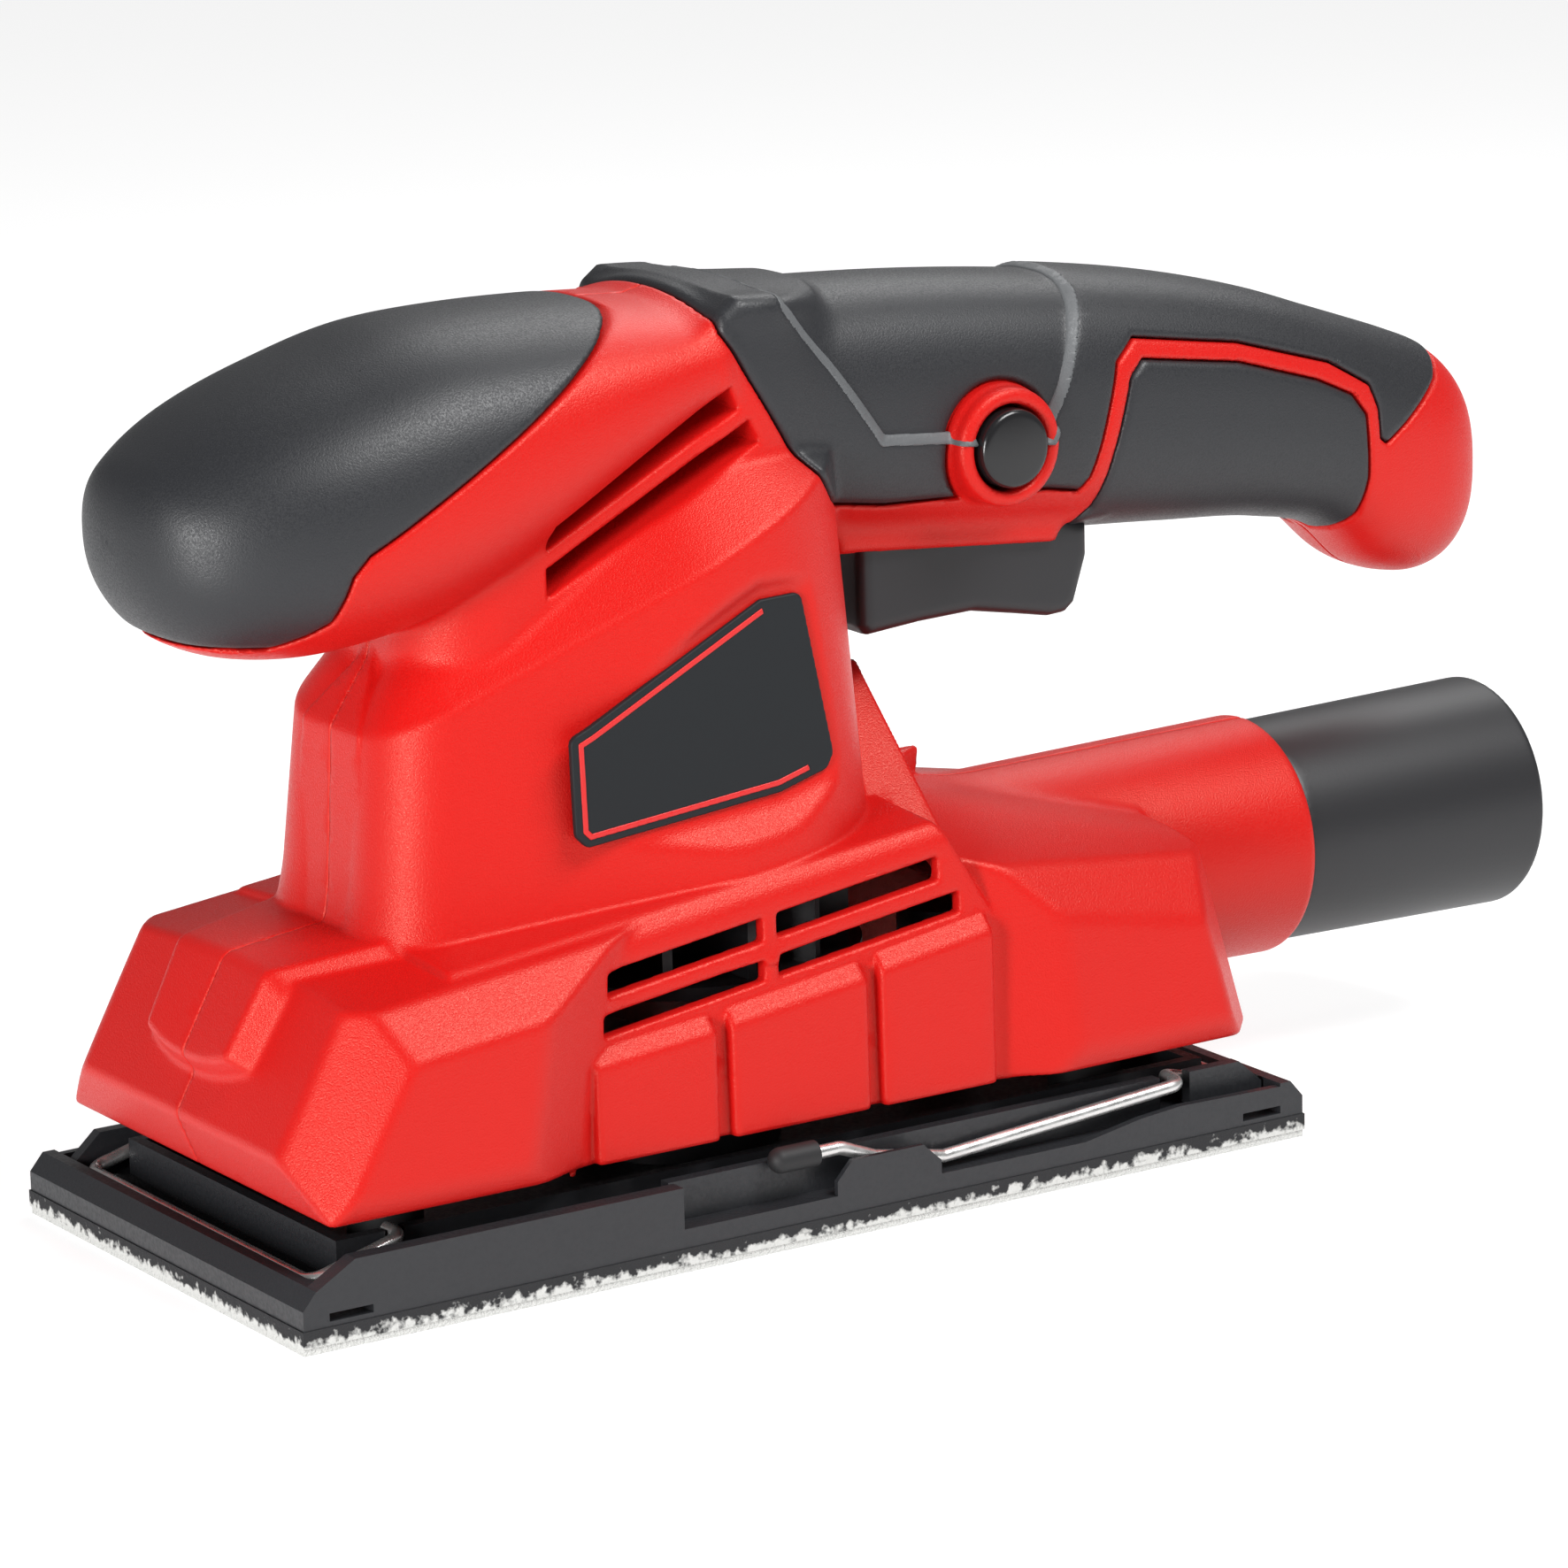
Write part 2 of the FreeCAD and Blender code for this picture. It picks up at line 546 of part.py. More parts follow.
SLOTS_OUTER, SLOTS_INNER = 60, 30
openings = [
    rod("button_bore", "button_bore", "30", "button_x", "-40", "button_z", "Y"),
    box("trigger_slot", "49", "2 * trigger_half + 0.8", "24", "30", "-trigger_half - 0.4", "83"),
    rod("pivot_hole", "pivot_rad + 0.05", "2 * pivot_half", "pivot_x", "-pivot_half", "pivot_z", "Y"),
    rod("inlet_bore", "inlet_rad", "40", "inlet_x", "0", "inlet_low - 4"),
    rod("adapter_socket", "adapter_rad + 0.05", "20", "tube_end - 14", "0", "tube_z", "X"),
]
openings += both_sides("plate_window", PLATE_WINDOW, LABEL_FACE, 60)
for number, (left, right, height) in enumerate(SKIRT_SLOTS):
    slope = (right[1] - left[1]) / (right[0] - left[0])
    bar_from = (SLOT_BAR[0], left[1] + slope * (SLOT_BAR[0] - left[0]))
    bar_to = (SLOT_BAR[1], left[1] + slope * (SLOT_BAR[1] - left[0]))
    front_part = [left, bar_from, (bar_from[0], bar_from[1] - height), (left[0], left[1] - height)]
    rear_part = slot_side(bar_to, right, height)
    openings += both_sides(f"skirt_slot_{number}_front", front_part, SLOTS_INNER, SLOTS_OUTER)
    openings += both_sides(f"skirt_slot_{number}_rear", rear_part, SLOTS_INNER, SLOTS_OUTER)
for number, points in enumerate(NECK_SLOTS):
    openings += both_sides(f"neck_slot_{number}", points, 18, 40)


def screw(name, x, z, side):
    """Countersunk screw that runs in from the right along Y, with its head sunk below the surface."""
    head_low = side - SCREW_SINK
    shank = Part.makeCylinder(SCREW_RAD, head_low + SCREW_REACH, Vector(x, -SCREW_REACH, z), Vector(0, 1, 0))
    head = Part.makeCylinder(SCREW_HEAD_RAD, SCREW_HEAD_LEN, Vector(x, head_low, z), Vector(0, 1, 0))
    slot = Part.makeBox(4.4, 1.2, 0.9, Vector(x - 2.2, head_low + SCREW_HEAD_LEN - 1.2, z - 0.45))
    cross = Part.makeBox(0.9, 1.2, 4.4, Vector(x - 0.45, head_low + SCREW_HEAD_LEN - 1.2, z - 2.2))
    way = Part.makeCylinder(SCREW_HEAD_RAD, 30, Vector(x, head_low, z), Vector(0, 1, 0))
    return shank.fuse(head).cut(slot).cut(cross), shank.fuse(way)


screw_pairs = [screw("screw", x, z, side) for x, z, side in SCREWS]
keep(solid("housing_screws", Part.makeCompound([pair[0] for pair in screw_pairs])), "housing_screws")
openings += [solid("screw_way", pair[1]) for pair in screw_pairs]

red = cut("red", housing_form, fuse("taken_out", [
    void, fuse("openings", openings), knob_skin, handle_skin, left_skin, right_skin,
]))
near_half = box("near_half", "400", "80", "300", "-200", "-80", "-50")
far_half = box("far_half", "400", "80", "300", "-200", "0", "-50")
keep(common("left_half", [red, near_half]), "left_shell")
keep(common("right_half", [red, far_half]), "right_shell")
keep(knob_skin, "knob_grip")
keep(handle_skin, "handle_grip")
keep(left_skin, "left_side_grip")
keep(right_skin, "right_side_grip")
keep(prism("name_plate", LABEL_SIDE, -LABEL_FACE - LABEL_THICK, -LABEL_FACE), "name_plate")
keep(prism("rating_plate", LABEL_SIDE, LABEL_FACE, LABEL_FACE + LABEL_THICK), "rating_plate")

# ---- motor ----
motor = "motor_x"
keep(rod("shaft", "shaft_rad", "shaft_top - shaft_low", motor, "0", "shaft_low"), "motor_shaft")
keep(ring("top_bearing", "top_bearing_rad", "bearing_bore", "top_bearing_len", motor, "top_bearing_z"),
     "upper_bearing")
keep(ring("low_bearing", "low_bearing_rad", "bearing_bore", "low_bearing_len", motor, "low_bearing_z"),
     "lower_bearing")
keep(turned("bracket", [
    ("bracket_hole_rad", "bracket_low"), ("bracket_rad", "bracket_low"), ("bracket_rad", "bracket_top"),
    ("bracket_boss_rad", "bracket_top"), ("bracket_boss_rad", "bracket_boss_top"),
    ("low_bearing_rad", "bracket_boss_top"), ("low_bearing_rad", "low_bearing_z"),
    ("bracket_hole_rad", "low_bearing_z"),
], motor), "bearing_bracket")

stator_ring = ring("stator_ring", "stator_rad", "stator_bore", "core_top - core_low", motor, "core_low")
keep(stator_ring, "stator_core")


def coil(name, z):
    """One end of the field winding: two kidney-shaped bundles outside the armature."""
    outer = rod(f"{name}_outer", "coil_out", "coil_len", motor, "0", z)
    bore = rod(f"{name}_bore", "coil_in", "coil_len + 2", motor, "0", f"{z} - 1")
    gap = box(f"{name}_gap", "60", "12", "coil_len + 2", "motor_x - 30", "-6", f"{z} - 1")
    return cut(name, outer, fuse(f"{name}_clear", [bore, gap]))


keep(fuse("coils", [coil("low_coil", "core_low - coil_len"), coil("high_coil", "core_top")]), "field_coils")
keep(ring("core", "armature_rad", "shaft_rad", "core_top - core_low", motor, "core_low"), "armature_core")
keep(fuse("windings", [
    ring("low_winding", "winding_rad", "shaft_rad", "coil_len - 0.5", motor, "core_low - coil_len + 0.5"),
    ring("high_winding", "winding_rad", "shaft_rad", "coil_len - 0.5", motor, "core_top"),
]), "armature_windings")
keep(ring("commutator_ring", "commutator_rad", "shaft_rad", "commutator_top - commutator_low",
          motor, "commutator_low"), "commutator")


def brush_set(name, width, start, end):
    """The same block on both sides of the commutator, along Y."""
    blocks = []
    for side, low in (("left", f"-( {end} )"), ("right", start)):
        blocks.append(box(f"{name}_{side}", width, f"{end} - {start}", width,
                          f"motor_x - {width} / 2", low, f"brush_z - {width} / 2"))
    return blocks


brush_pair = fuse("brush_pair", brush_set("brush", "brush_wid", "brush_in", "brush_out"))
spring_pair = fuse("spring_pair", [
    rod("left_brush_spring", "1.9", "brush_spring_out - brush_out", motor, "-brush_spring_out", "brush_z", "Y"),
    rod("right_brush_spring", "1.9", "brush_spring_out - brush_out", motor, "brush_out", "brush_z", "Y"),
])
holder_pair = cut("holder_pair", fuse("holder_blocks", brush_set("holder", "holder_wid", "holder_in", "neck_wall")),
                  fuse("holder_bores", brush_set("holder_bore", "brush_wid", "brush_in", "brush_spring_out")))
keep(brush_pair, "carbon_brushes")
keep(spring_pair, "brush_springs")
keep(holder_pair, "brush_holders")


def fan():
    """Fan: hub, web and upright blades that lean back from the radius."""
    middle = Vector(val("motor_x"), 0, 0)
    hub = Part.makeCylinder(val("fan_hub_rad"), val("fan_top") - val("fan_low") - 3,
                            middle + Vector(0, 0, val("fan_low")))
    web = Part.makeCylinder(val("fan_rad"), val("fan_web") - val("fan_low"),
                            middle + Vector(0, 0, val("fan_low")))
    body = hub.fuse(web)
    reach = val("fan_rad") - val("fan_blade_in") - 0.3
    for step in range(FAN_BLADES):
        blade = Part.makeBox(reach, val("fan_blade_thick"), val("fan_top") - val("fan_web"))
        blade.translate(Vector(0, -val("fan_blade_thick") / 2, 0))
        blade.rotate(Vector(), Vector(0, 0, 1), FAN_LEAN)
        blade.translate(Vector(val("fan_blade_in") - 1, 0, val("fan_web")))
        blade.rotate(Vector(), Vector(0, 0, 1), 360 * step / FAN_BLADES)
        blade.translate(middle)
        body = body.fuse(blade)
    bore = Part.makeCylinder(val("shaft_rad"), 60, middle)
    rim = Part.makeCylinder(val("fan_rad"), 60, middle)
    return body.common(rim).cut(bore)


FAN_BLADES, FAN_LEAN = 13, 24
keep(solid("fan", fan()), "cooling_fan")

# ---- eccentric drive ----
pin = rod("eccentric_pin", "pin_rad", "pin_top - pin_low", "0", "0", "pin_low")
collar = rod("collar", "collar_rad", "collar_top - pin_top", motor, "0", "pin_top")
weight_disc = rod("weight_disc", "weight_rad", "collar_top - weight_low", motor, "0", "weight_low")
weight_half = box("weight_half", "60", "60", "40", "motor_x", "-30", "0")
weight = common("weight", [weight_disc, weight_half])
eccentric_form = fuse("eccentric_form", [pin, collar, weight])
shaft_bore = rod("shaft_bore", "shaft_rad", "40", motor, "0", "shaft_low")
keep(cut("eccentric_cut", eccentric_form, shaft_bore), "eccentric")
keep(ring("drive_bearing", "drive_bearing_rad", "drive_bearing_bore", "drive_bearing_len", "0",
          "drive_bearing_low"), "eccentric_bearing")
keep(ring("retainer", "retainer_rad", "retainer_bore", "hub_top - retainer_low", "0", "retainer_low"),
     "bearing_retainer")
posts_list = [
    rod("post", "post_rad", "post_top - post_low", f"{end}post_x", f"{side}post_y", "post_low")
    for end in ("-", "") for side in ("-", "")
]
keep(fuse("posts", posts_list), "isolator_posts")

# ---- base plate ----


def plate_edge(name, sign):
    """Side profile of one end of the plate: upright face, bevel, lip, trough and deck."""
    edge = val("plate_len") / 2
    lip_in = edge - val("lip_wid")
    trough_in = lip_in - val("trough_wid")
    points = [
        (0, val("foam_top")), (edge, val("foam_top")), (edge, val("deck")),
        (edge - 2.4, val("lip_top")), (lip_in, val("lip_top")), (lip_in, val("trough_floor")),
        (trough_in, val("trough_floor")), (trough_in, val("deck")), (0, val("deck")),
    ]
    side = [(sign * x, z) for x, z in points]
    return prism(name, side, -val("plate_wid") / 2, val("plate_wid") / 2)


def near_walls():
    """Walls along the near edge; the far edge has the same ones turned end for end."""
    edge = val("plate_wid") / 2
    low, top = val("deck") - 1, val("side_wall_top")
    end = -val("side_wall_end")
    flush = [(-90, low), (end, low), (end, top), (-84.2, top), (-91, val("lip_top")), (-91, low)]
    flange = [(val("notch_end"), low), (91, low), (91, 9.2), (69, 9.6), (61, 8.9), (val("notch_end"), 7.0)]
    hook = [(2.4, low), (22.1, low), (22.1, 9.3), (val("hook_rear"), val("hook_top")),
            (val("hook_front"), val("hook_top")), (2.4, 9.3)]
    wall_top = val("inner_wall_top")
    inner = [(-val("side_wall_end"), low), (val("slot_front"), low),
             (val("slot_front"), wall_top), (-val("side_wall_end"), wall_top)]
    block = [(val("slot_rear"), low), (88.5, low), (88.5, 9.4), (val("block_end"), wall_top),
             (val("slot_rear"), wall_top)]
    wall_y = val("inner_wall_y")
    return [
        prism("flush_wall", flush, -edge, -edge + val("side_wall_thick")),
        prism("flange", flange, -edge, -edge + 1.4),
        prism("hook", hook, -edge, -edge + val("hook_thick")),
        prism("inner_wall", inner, -wall_y - val("inner_wall_thick"), -wall_y),
        prism("block", block, -wall_y - val("inner_wall_thick"), -wall_y),
    ]


tub_out = box("tub_out", "2 * tub_x", "2 * tub_y", "tub_top - 6", "-tub_x", "-tub_y", "6")
tub_in = box("tub_in", "2 * ( tub_x - tub_thick )", "2 * ( tub_y - tub_thick )", "40",
             "-tub_x + tub_thick", "-tub_y + tub_thick", "deck")
tub = cut("tub", tub_out, tub_in)
hub = rod("hub", "hub_rad", "hub_top - foam_top", "0", "0", "foam_top")
walls = near_walls()
plate_form = fuse("plate_form", [
    plate_edge("rear_end", 1), plate_edge("front_end", -1), tub, hub,
] + walls + [turned_over(wall.Name + "_far", wall) for wall in walls])
seat = fuse("bearing_seat", [
    rod("bearing_pocket", "drive_bearing_rad", "20", "0", "0", "drive_bearing_low"),
    rod("retainer_pocket", "retainer_rad", "20", "0", "0", "retainer_low"),
    rod("seat_floor", "11", "20", "0", "0", "drive_bearing_low - 2"),
])
tub_notches = [
    box(f"tub_notch_{end}", "3.4", "8", "4", f"{end}wire_pivot_x - 1.7",
        "tub_y - 4" if end == "" else "-tub_y - 4", "wire_pivot_z - 1.7")
    for end in ("-", "")
]
keep(cut("plate_cut", plate_form, fuse("plate_clear", [seat] + tub_notches)), "base_plate")
keep(box("foam", "plate_len + 2 * foam_overhang", "plate_wid + 2 * foam_overhang", "foam_top - loop_top",
         "-plate_len / 2 - foam_overhang", "-plate_wid / 2 - foam_overhang", "loop_top"), "foam_pad")
keep(box("loop", "plate_len", "plate_wid", "loop_top", "-plate_len / 2", "-plate_wid / 2", "0"), "loop_layer")

# ---- clamp wires: the rear one is drawn, the front one is the same turned half a turn ----
wire_points = [
    Vector(val("wire_pivot_x"), val("wire_arm_y") - 5.0, val("wire_pivot_z")),
    Vector(val("wire_pivot_x"), val("wire_arm_y"), val("wire_pivot_z")),
    Vector(val("wire_bar_x"), val("wire_arm_y"), val("wire_bar_z")),
    Vector(val("wire_bar_x"), -val("wire_arm_y"), val("wire_bar_z")),
    Vector(val("wire_pivot_x"), -val("wire_arm_y"), val("wire_pivot_z")),
    Vector(val("wire_pivot_x"), -val("wire_lever_y"), val("wire_pivot_z")),
    Vector(val("wire_low_x"), -val("wire_lever_y"), val("wire_low_z")),
    Vector(val("wire_kink_x"), -val("wire_lever_y"), val("wire_kink_z")),
    Vector(val("wire_tip_x"), -val("wire_lever_y"), val("wire_tip_z")),
    Vector(val("wire_end_x"), -val("wire_lever_y"), val("wire_tip_z")),
]
rear_rod = bent_wire(wire_points, val("wire_rad"), val("wire_bend"))
tip_start = Vector(val("wire_end_x") - 1.6, -val("wire_lever_y"), val("wire_tip_z"))
tip_sleeve = Part.makeCylinder(val("tip_rad"), val("tip_len") - 2, tip_start, Vector(1, 0, 0))
tip_nose = Part.makeSphere(val("tip_rad"), tip_start)
rear_tip = tip_sleeve.fuse(tip_nose).cut(rear_rod)
rear_wire = keep(solid("rear_wire", rear_rod), "rear_clamp_wire")
rear_cap = keep(solid("rear_cap", rear_tip), "rear_clamp_tip")
keep(turned_over("front_wire", rear_wire), "front_clamp_wire")
keep(turned_over("front_cap", rear_cap), "front_clamp_tip")

# ---- switch gear in the handle ----
keep(box("switch", "switch_len", "switch_wid", "switch_hgt", "switch_x", "-switch_wid / 2", "switch_z"),
     "switch")
keep(rod("capacitor_can", "capacitor_rad", "capacitor_len", "capacitor_x", "0", "capacitor_z", "X"),
     "capacitor")
button = rod("button_stem", "button_rad", "button_out - button_in", "button_x", "-button_out", "button_z", "Y")
keep(button, "lock_button")
keep(rod("button_coil", "3.5", "button_in - switch_wid / 2", "button_x", "-button_in", "button_z", "Y"),
     "lock_button_spring")
trigger_block = prism("trigger_block", TRIGGER_SIDE, -val("trigger_half"), val("trigger_half"))
pivot_pin = rod("pivot_pin", "pivot_rad", "2 * pivot_half - 0.4", "pivot_x", "-pivot_half + 0.2", "pivot_z", "Y")
keep(fuse("trigger_form", [trigger_block, pivot_pin]), "trigger")
keep(rod("trigger_coil", "3", "switch_z - trigger_top", "switch_x + 14", "0", "trigger_top"), "trigger_spring")
keep(box("clamp_bar", "8", "16", "4", "120", "-8", "102"), "cord_clamp")

# ---- dust adapter ----
adapter_form = fuse("adapter_form", [
    rod("adapter_spigot", "adapter_rad", "14", "tube_end - 13.8", "0", "tube_z", "X"),
    cone("adapter_sleeve", "adapter_rad", "adapter_end_rad", "adapter_end - tube_end", "tube_end", "0",
         "tube_z", "X"),
])
adapter_bore = rod("adapter_bore_rod", "adapter_bore", "90", "tube_end - 20", "0", "tube_z", "X")
keep(cut("adapter_cut", adapter_form, adapter_bore), "dust_adapter")

# ---- check and write ----
doc.recompute()
for obj in doc.Objects:
    if "Invalid" in obj.State or "Error" in obj.State:
        raise RuntimeError(f"{obj.Name} failed: {obj.State}")
for piece in PIECES:
    if piece.Shape.isNull() or not piece.Shape.isValid():
        raise RuntimeError(f"{piece.Label} has no valid shape")
os.makedirs("parts", exist_ok=True)
for piece in PIECES:
    piece.Shape.exportStep(f"parts/{piece.Label}.step")
    size = piece.Shape.BoundBox
    print(f"{piece.Label:22s} {len(piece.Shape.Solids):2d} solids {piece.Shape.Volume:10.0f} mm3",
          f"x {size.XMin:7.1f} {size.XMax:7.1f}  y {size.YMin:6.1f} {size.YMax:6.1f}",
          f"z {size.ZMin:6.1f} {size.ZMax:6.1f}")
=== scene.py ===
import math
import bpy
import numpy as np
from mathutils import Matrix, Vector


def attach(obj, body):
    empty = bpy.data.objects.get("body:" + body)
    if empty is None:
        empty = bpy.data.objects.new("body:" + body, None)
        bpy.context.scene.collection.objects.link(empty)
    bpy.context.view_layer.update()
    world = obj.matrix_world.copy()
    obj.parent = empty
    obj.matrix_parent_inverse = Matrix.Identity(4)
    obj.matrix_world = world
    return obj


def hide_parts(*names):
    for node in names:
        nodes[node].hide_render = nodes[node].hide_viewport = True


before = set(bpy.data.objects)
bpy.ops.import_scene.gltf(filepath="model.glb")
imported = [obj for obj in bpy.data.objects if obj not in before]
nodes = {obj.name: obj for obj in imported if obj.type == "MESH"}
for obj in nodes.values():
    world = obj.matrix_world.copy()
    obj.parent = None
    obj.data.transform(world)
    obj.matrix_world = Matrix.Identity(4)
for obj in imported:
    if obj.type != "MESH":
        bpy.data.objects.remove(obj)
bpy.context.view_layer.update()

# Every form below is a signed field in millimetres, negative inside, in the frame of the CAD model:
# +X towards the dust outlet, -Y the side with the lock button, +Z up from the sanding face.
STEP = 0.6


# ---- fields ----

def smax(a, b, k):
    """Intersection whose edge is rounded over about k."""
    reach = np.maximum(k - np.abs(a - b), 0)
    return np.maximum(a, b) + reach * reach / (4 * k)


def smin(a, b, k):
    """Union whose corner is filled over about k."""
    return -smax(-a, -b, k)


def plane(p, q, r, inside):
    """Outward normal and offset of the plane through three corners."""
    p, q, r, inside = (np.array(v, float) for v in (p, q, r, inside))
    normal = np.cross(q - p, r - p)
    normal /= np.linalg.norm(normal)
    if normal @ (inside - p) > 0:
        normal = -normal
    return normal, normal @ p


def facets(x, y, z, corners, inside, k):
    """Faceted block: each facet is three of its corners, with y counted from the middle plane."""
    across = np.abs(y)
    field = None
    for p, q, r in corners:
        normal, offset = plane(p, q, r, inside)
        side = normal[0] * x + normal[1] * across + normal[2] * z - offset
        field = side if field is None else smax(field, side, k)
    return field


def outline(u, v, points):
    """Signed distance to a closed outline in two coordinates."""
    points = np.array(points, float)
    nearest = None
    sign = 1.0
    for a, b in zip(points, np.roll(points, 1, axis=0)):
        edge = b - a
        du, dv = u - a[0], v - a[1]
        t = np.clip((du * edge[0] + dv * edge[1]) / (edge @ edge), 0, 1)
        gap = (du - edge[0] * t) ** 2 + (dv - edge[1] * t) ** 2
        nearest = gap if nearest is None else np.minimum(nearest, gap)
        above, below, left = v >= a[1], v < b[1], edge[0] * dv > edge[1] * du
        flip = (above & below & left) | (~above & ~below & ~left)
        sign = np.where(flip, -sign, sign)
    return sign * np.sqrt(nearest)


def curve(x, knots, values):
    """Smooth curve through values at the knots."""
    knots, values = np.array(knots, float), np.array(values, float)
    slopes = np.gradient(values, knots)
    x = np.clip(x, knots[0], knots[-1])
    index = np.clip(np.searchsorted(knots, x, side="right") - 1, 0, len(knots) - 2)
    width = knots[index + 1] - knots[index]
    t = (x - knots[index]) / width
    return (
        values[index] * (1 + 2 * t) * (1 - t) ** 2
        + values[index + 1] * t * t * (3 - 2 * t)
        + width * (slopes[index] * t * (1 - t) ** 2 + slopes[index + 1] * t * t * (t - 1))
    )


def loft(x, y, z, sections, tip, power):
    """Rounded-box sections (x, low, top, half width) that close to a point at x = tip."""
    table = np.array(sections, float)
    way = 1 if tip < table[0, 0] else -1
    if way < 0:
        table = table[::-1]
    knots = np.concatenate([[0], np.sqrt(np.abs(table[:, 0] - tip))])
    end = (table[0, 1] + table[0, 2]) / 2
    reach = np.sqrt(np.maximum((x - tip) * way, 1e-6))
    low = curve(reach, knots, np.concatenate([[end], table[:, 1]]))
    top = curve(reach, knots, np.concatenate([[end], table[:, 2]]))
    half = curve(reach, knots, np.concatenate([[0], table[:, 3]]))
    middle, tall = (low + top) / 2, np.maximum((top - low) / 2, 0.02)
    half = np.maximum(half, 0.02)
    rise = z - middle
    ratio = ((np.abs(y) / half) ** power + (np.abs(rise) / tall) ** power) ** (1 / power)
    radial = np.sqrt(y * y + rise * rise)
    field = radial - radial / np.maximum(ratio, 1e-3)
    return np.maximum(field, (tip - x) * way)


def wedge(x, y, nose, tail, front, power=2.0):
    """Plan form: a full tail and two round nose corners, joined by tangents and a flat front."""
    (nose_x, nose_y, nose_r), (tail_x, tail_r) = nose, tail
    across = np.abs(y)
    span_x, span_y = tail_x - nose_x, -nose_y
    length = np.sqrt(span_x * span_x + span_y * span_y)
    px, py = x - nose_x, across - nose_y
    along = (px * span_x + py * span_y) / length
    off = np.abs(px * span_y - py * span_x) / length
    lean = (nose_r - tail_r) / length
    cosine = np.sqrt(1 - lean * lean)
    part = cosine * along - lean * off
    near_nose = np.sqrt(px * px + py * py) - nose_r
    side = cosine * off + lean * along - nose_r
    behind = np.maximum(x - tail_x, 0)
    circle = np.sqrt((x - tail_x) ** 2 + across * across)
    near_tail = np.where(x < tail_x, circle, (behind ** power + across ** power) ** (1 / power)) - tail_r
    joined = np.where(part < 0, near_nose, np.where(part > cosine * length, near_tail, side))
    middle = np.maximum(np.maximum(front - x, across - nose_y), x - tail_x)
    return np.minimum(joined, middle)


def tube(a, b, c, radius, low, high, k):
    """Round bar along c: a and b are measured from its axis."""
    return smax(np.sqrt(a * a + b * b) - radius, np.abs(c - (low + high) / 2) - (high - low) / 2, k)


def bar(u, v, w, size, k):
    """Rectangular bar: u, v and w are measured from its middle, size is its half lengths."""
    return smax(smax(np.abs(u) - size[0], np.abs(v) - size[1], k), np.abs(w) - size[2], k)


# ---- the housing's outer form ----

FRONT_BLOCK = [
    ((-86.4, 0, 17.8), (-86.4, 30, 17.8), (-90, 0, 26.8)),
    ((-90, 0, 26.8), (-90, 30, 26.8), (-78.1, 0, 47.9)),
    ((-78, 36, 47.9), (-39.2, 36, 52.3), (-78.8, 16.1, 49.0)),
    ((-78.1, 36, 47.9), (-39.2, 36, 52.3), (-47.4, 43.2, 43.8)),
    ((-86.9, 43.4, 21.1), (-72.9, 43.2, 40.6), (-47.4, 43.2, 43.8)),
    ((-86.4, 41.8, 17.8), (-53.4, 41.8, 17.8), (-86.9, 43.4, 21.1)),
    ((-51, 43.2, 20.2), (-47.4, 43.2, 43.8), (-40.5, 38.4, 20.5)),
    ((0, 0, 17.8), (10, 0, 17.8), (0, 10, 17.8)),
]
FRONT_CORNER = [
    ((-90, 33, 26.8), (-78.1, 36, 47.9), (-86.9, 43.4, 21.1)),
    ((-78.1, 36, 47.9), (-86.9, 43.4, 21.1), (-72.9, 43.2, 40.6)),
]
MIDDLE_BLOCK = [
    ((0, 37.4, 18), (10, 37.4, 18), (0, 35.8, 55)),
    ((-33.7, 36, 50.6), (28, 36, 58.3), (-33.7, 33.4, 54.2)),
    ((-33.7, 33.4, 54.2), (28.7, 33.4, 61.3), (0, 0, 60.5)),
    ((29.5, 33, 61.3), (35, 36, 52), (29.5, 0, 62.5)),
    ((0, 0, 17.8), (10, 0, 17.8), (0, 10, 17.8)),
    ((-60, 0, 20), (-60, 10, 20), (-60, 0, 30)),
]
REAR_BLOCK = [
    ((49, 41, 43.6), (50.6, 43, 21.4), (81.3, 42.4, 21.4)),
    ((39.8, 36, 52.5), (81.5, 34, 47.7), (49, 41, 43.6)),
    ((39.8, 36, 52.5), (81.5, 34, 47.7), (75, 24, 51.8)),
    ((34.9, 24, 60.5), (75, 24, 51.8), (60, 0, 57.0)),
    ((49, 41, 43.6), (50.6, 43, 21.4), (40, 37.6, 21)),
    ((82, 42, 21.5), (78.6, 39.5, 39.4), (88.8, 34, 22)),
    ((89.2, 0, 20), (89.2, 30, 22), (83, 0, 47)),
    ((50.6, 43, 21.4), (81.3, 42.4, 21.4), (60, 41.2, 17.8)),
    ((0, 0, 17.8), (10, 0, 17.8), (0, 10, 17.8)),
]
PADS = [(-37.4, -15.2, 33.4, 0.10), (-12.5, 13.0, 36.0, 0.13), (15.6, 37.2, 40.0, 0.15)]
KNOB = [
    (-95.0, 108.5, 127.2, 12.0), (-89.0, 101.5, 132.0, 20.0), (-79.0, 98.0, 137.2, 25.5),
    (-65.0, 97.5, 142.0, 28.5), (-49.0, 100.5, 145.9, 29.0), (-33.0, 107.5, 146.7, 28.0),
    (-17.0, 117.0, 146.3, 26.0), (-2.0, 126.0, 145.3, 23.5),
]
HANDLE = [
    (3.0, 114.0, 146.2, 21.0), (25.0, 104.0, 145.3, 20.0), (45.0, 101.0, 144.1, 19.5),
    (68.0, 98.5, 141.8, 19.5), (93.0, 96.5, 138.0, 19.0), (114.0, 94.5, 132.9, 18.3),
    (127.0, 91.0, 128.4, 17.6), (135.0, 84.0, 125.6, 17.0), (143.0, 81.0, 122.7, 16.0),
    (150.0, 81.2, 119.6, 14.5), (156.0, 85.5, 113.8, 11.0),
]
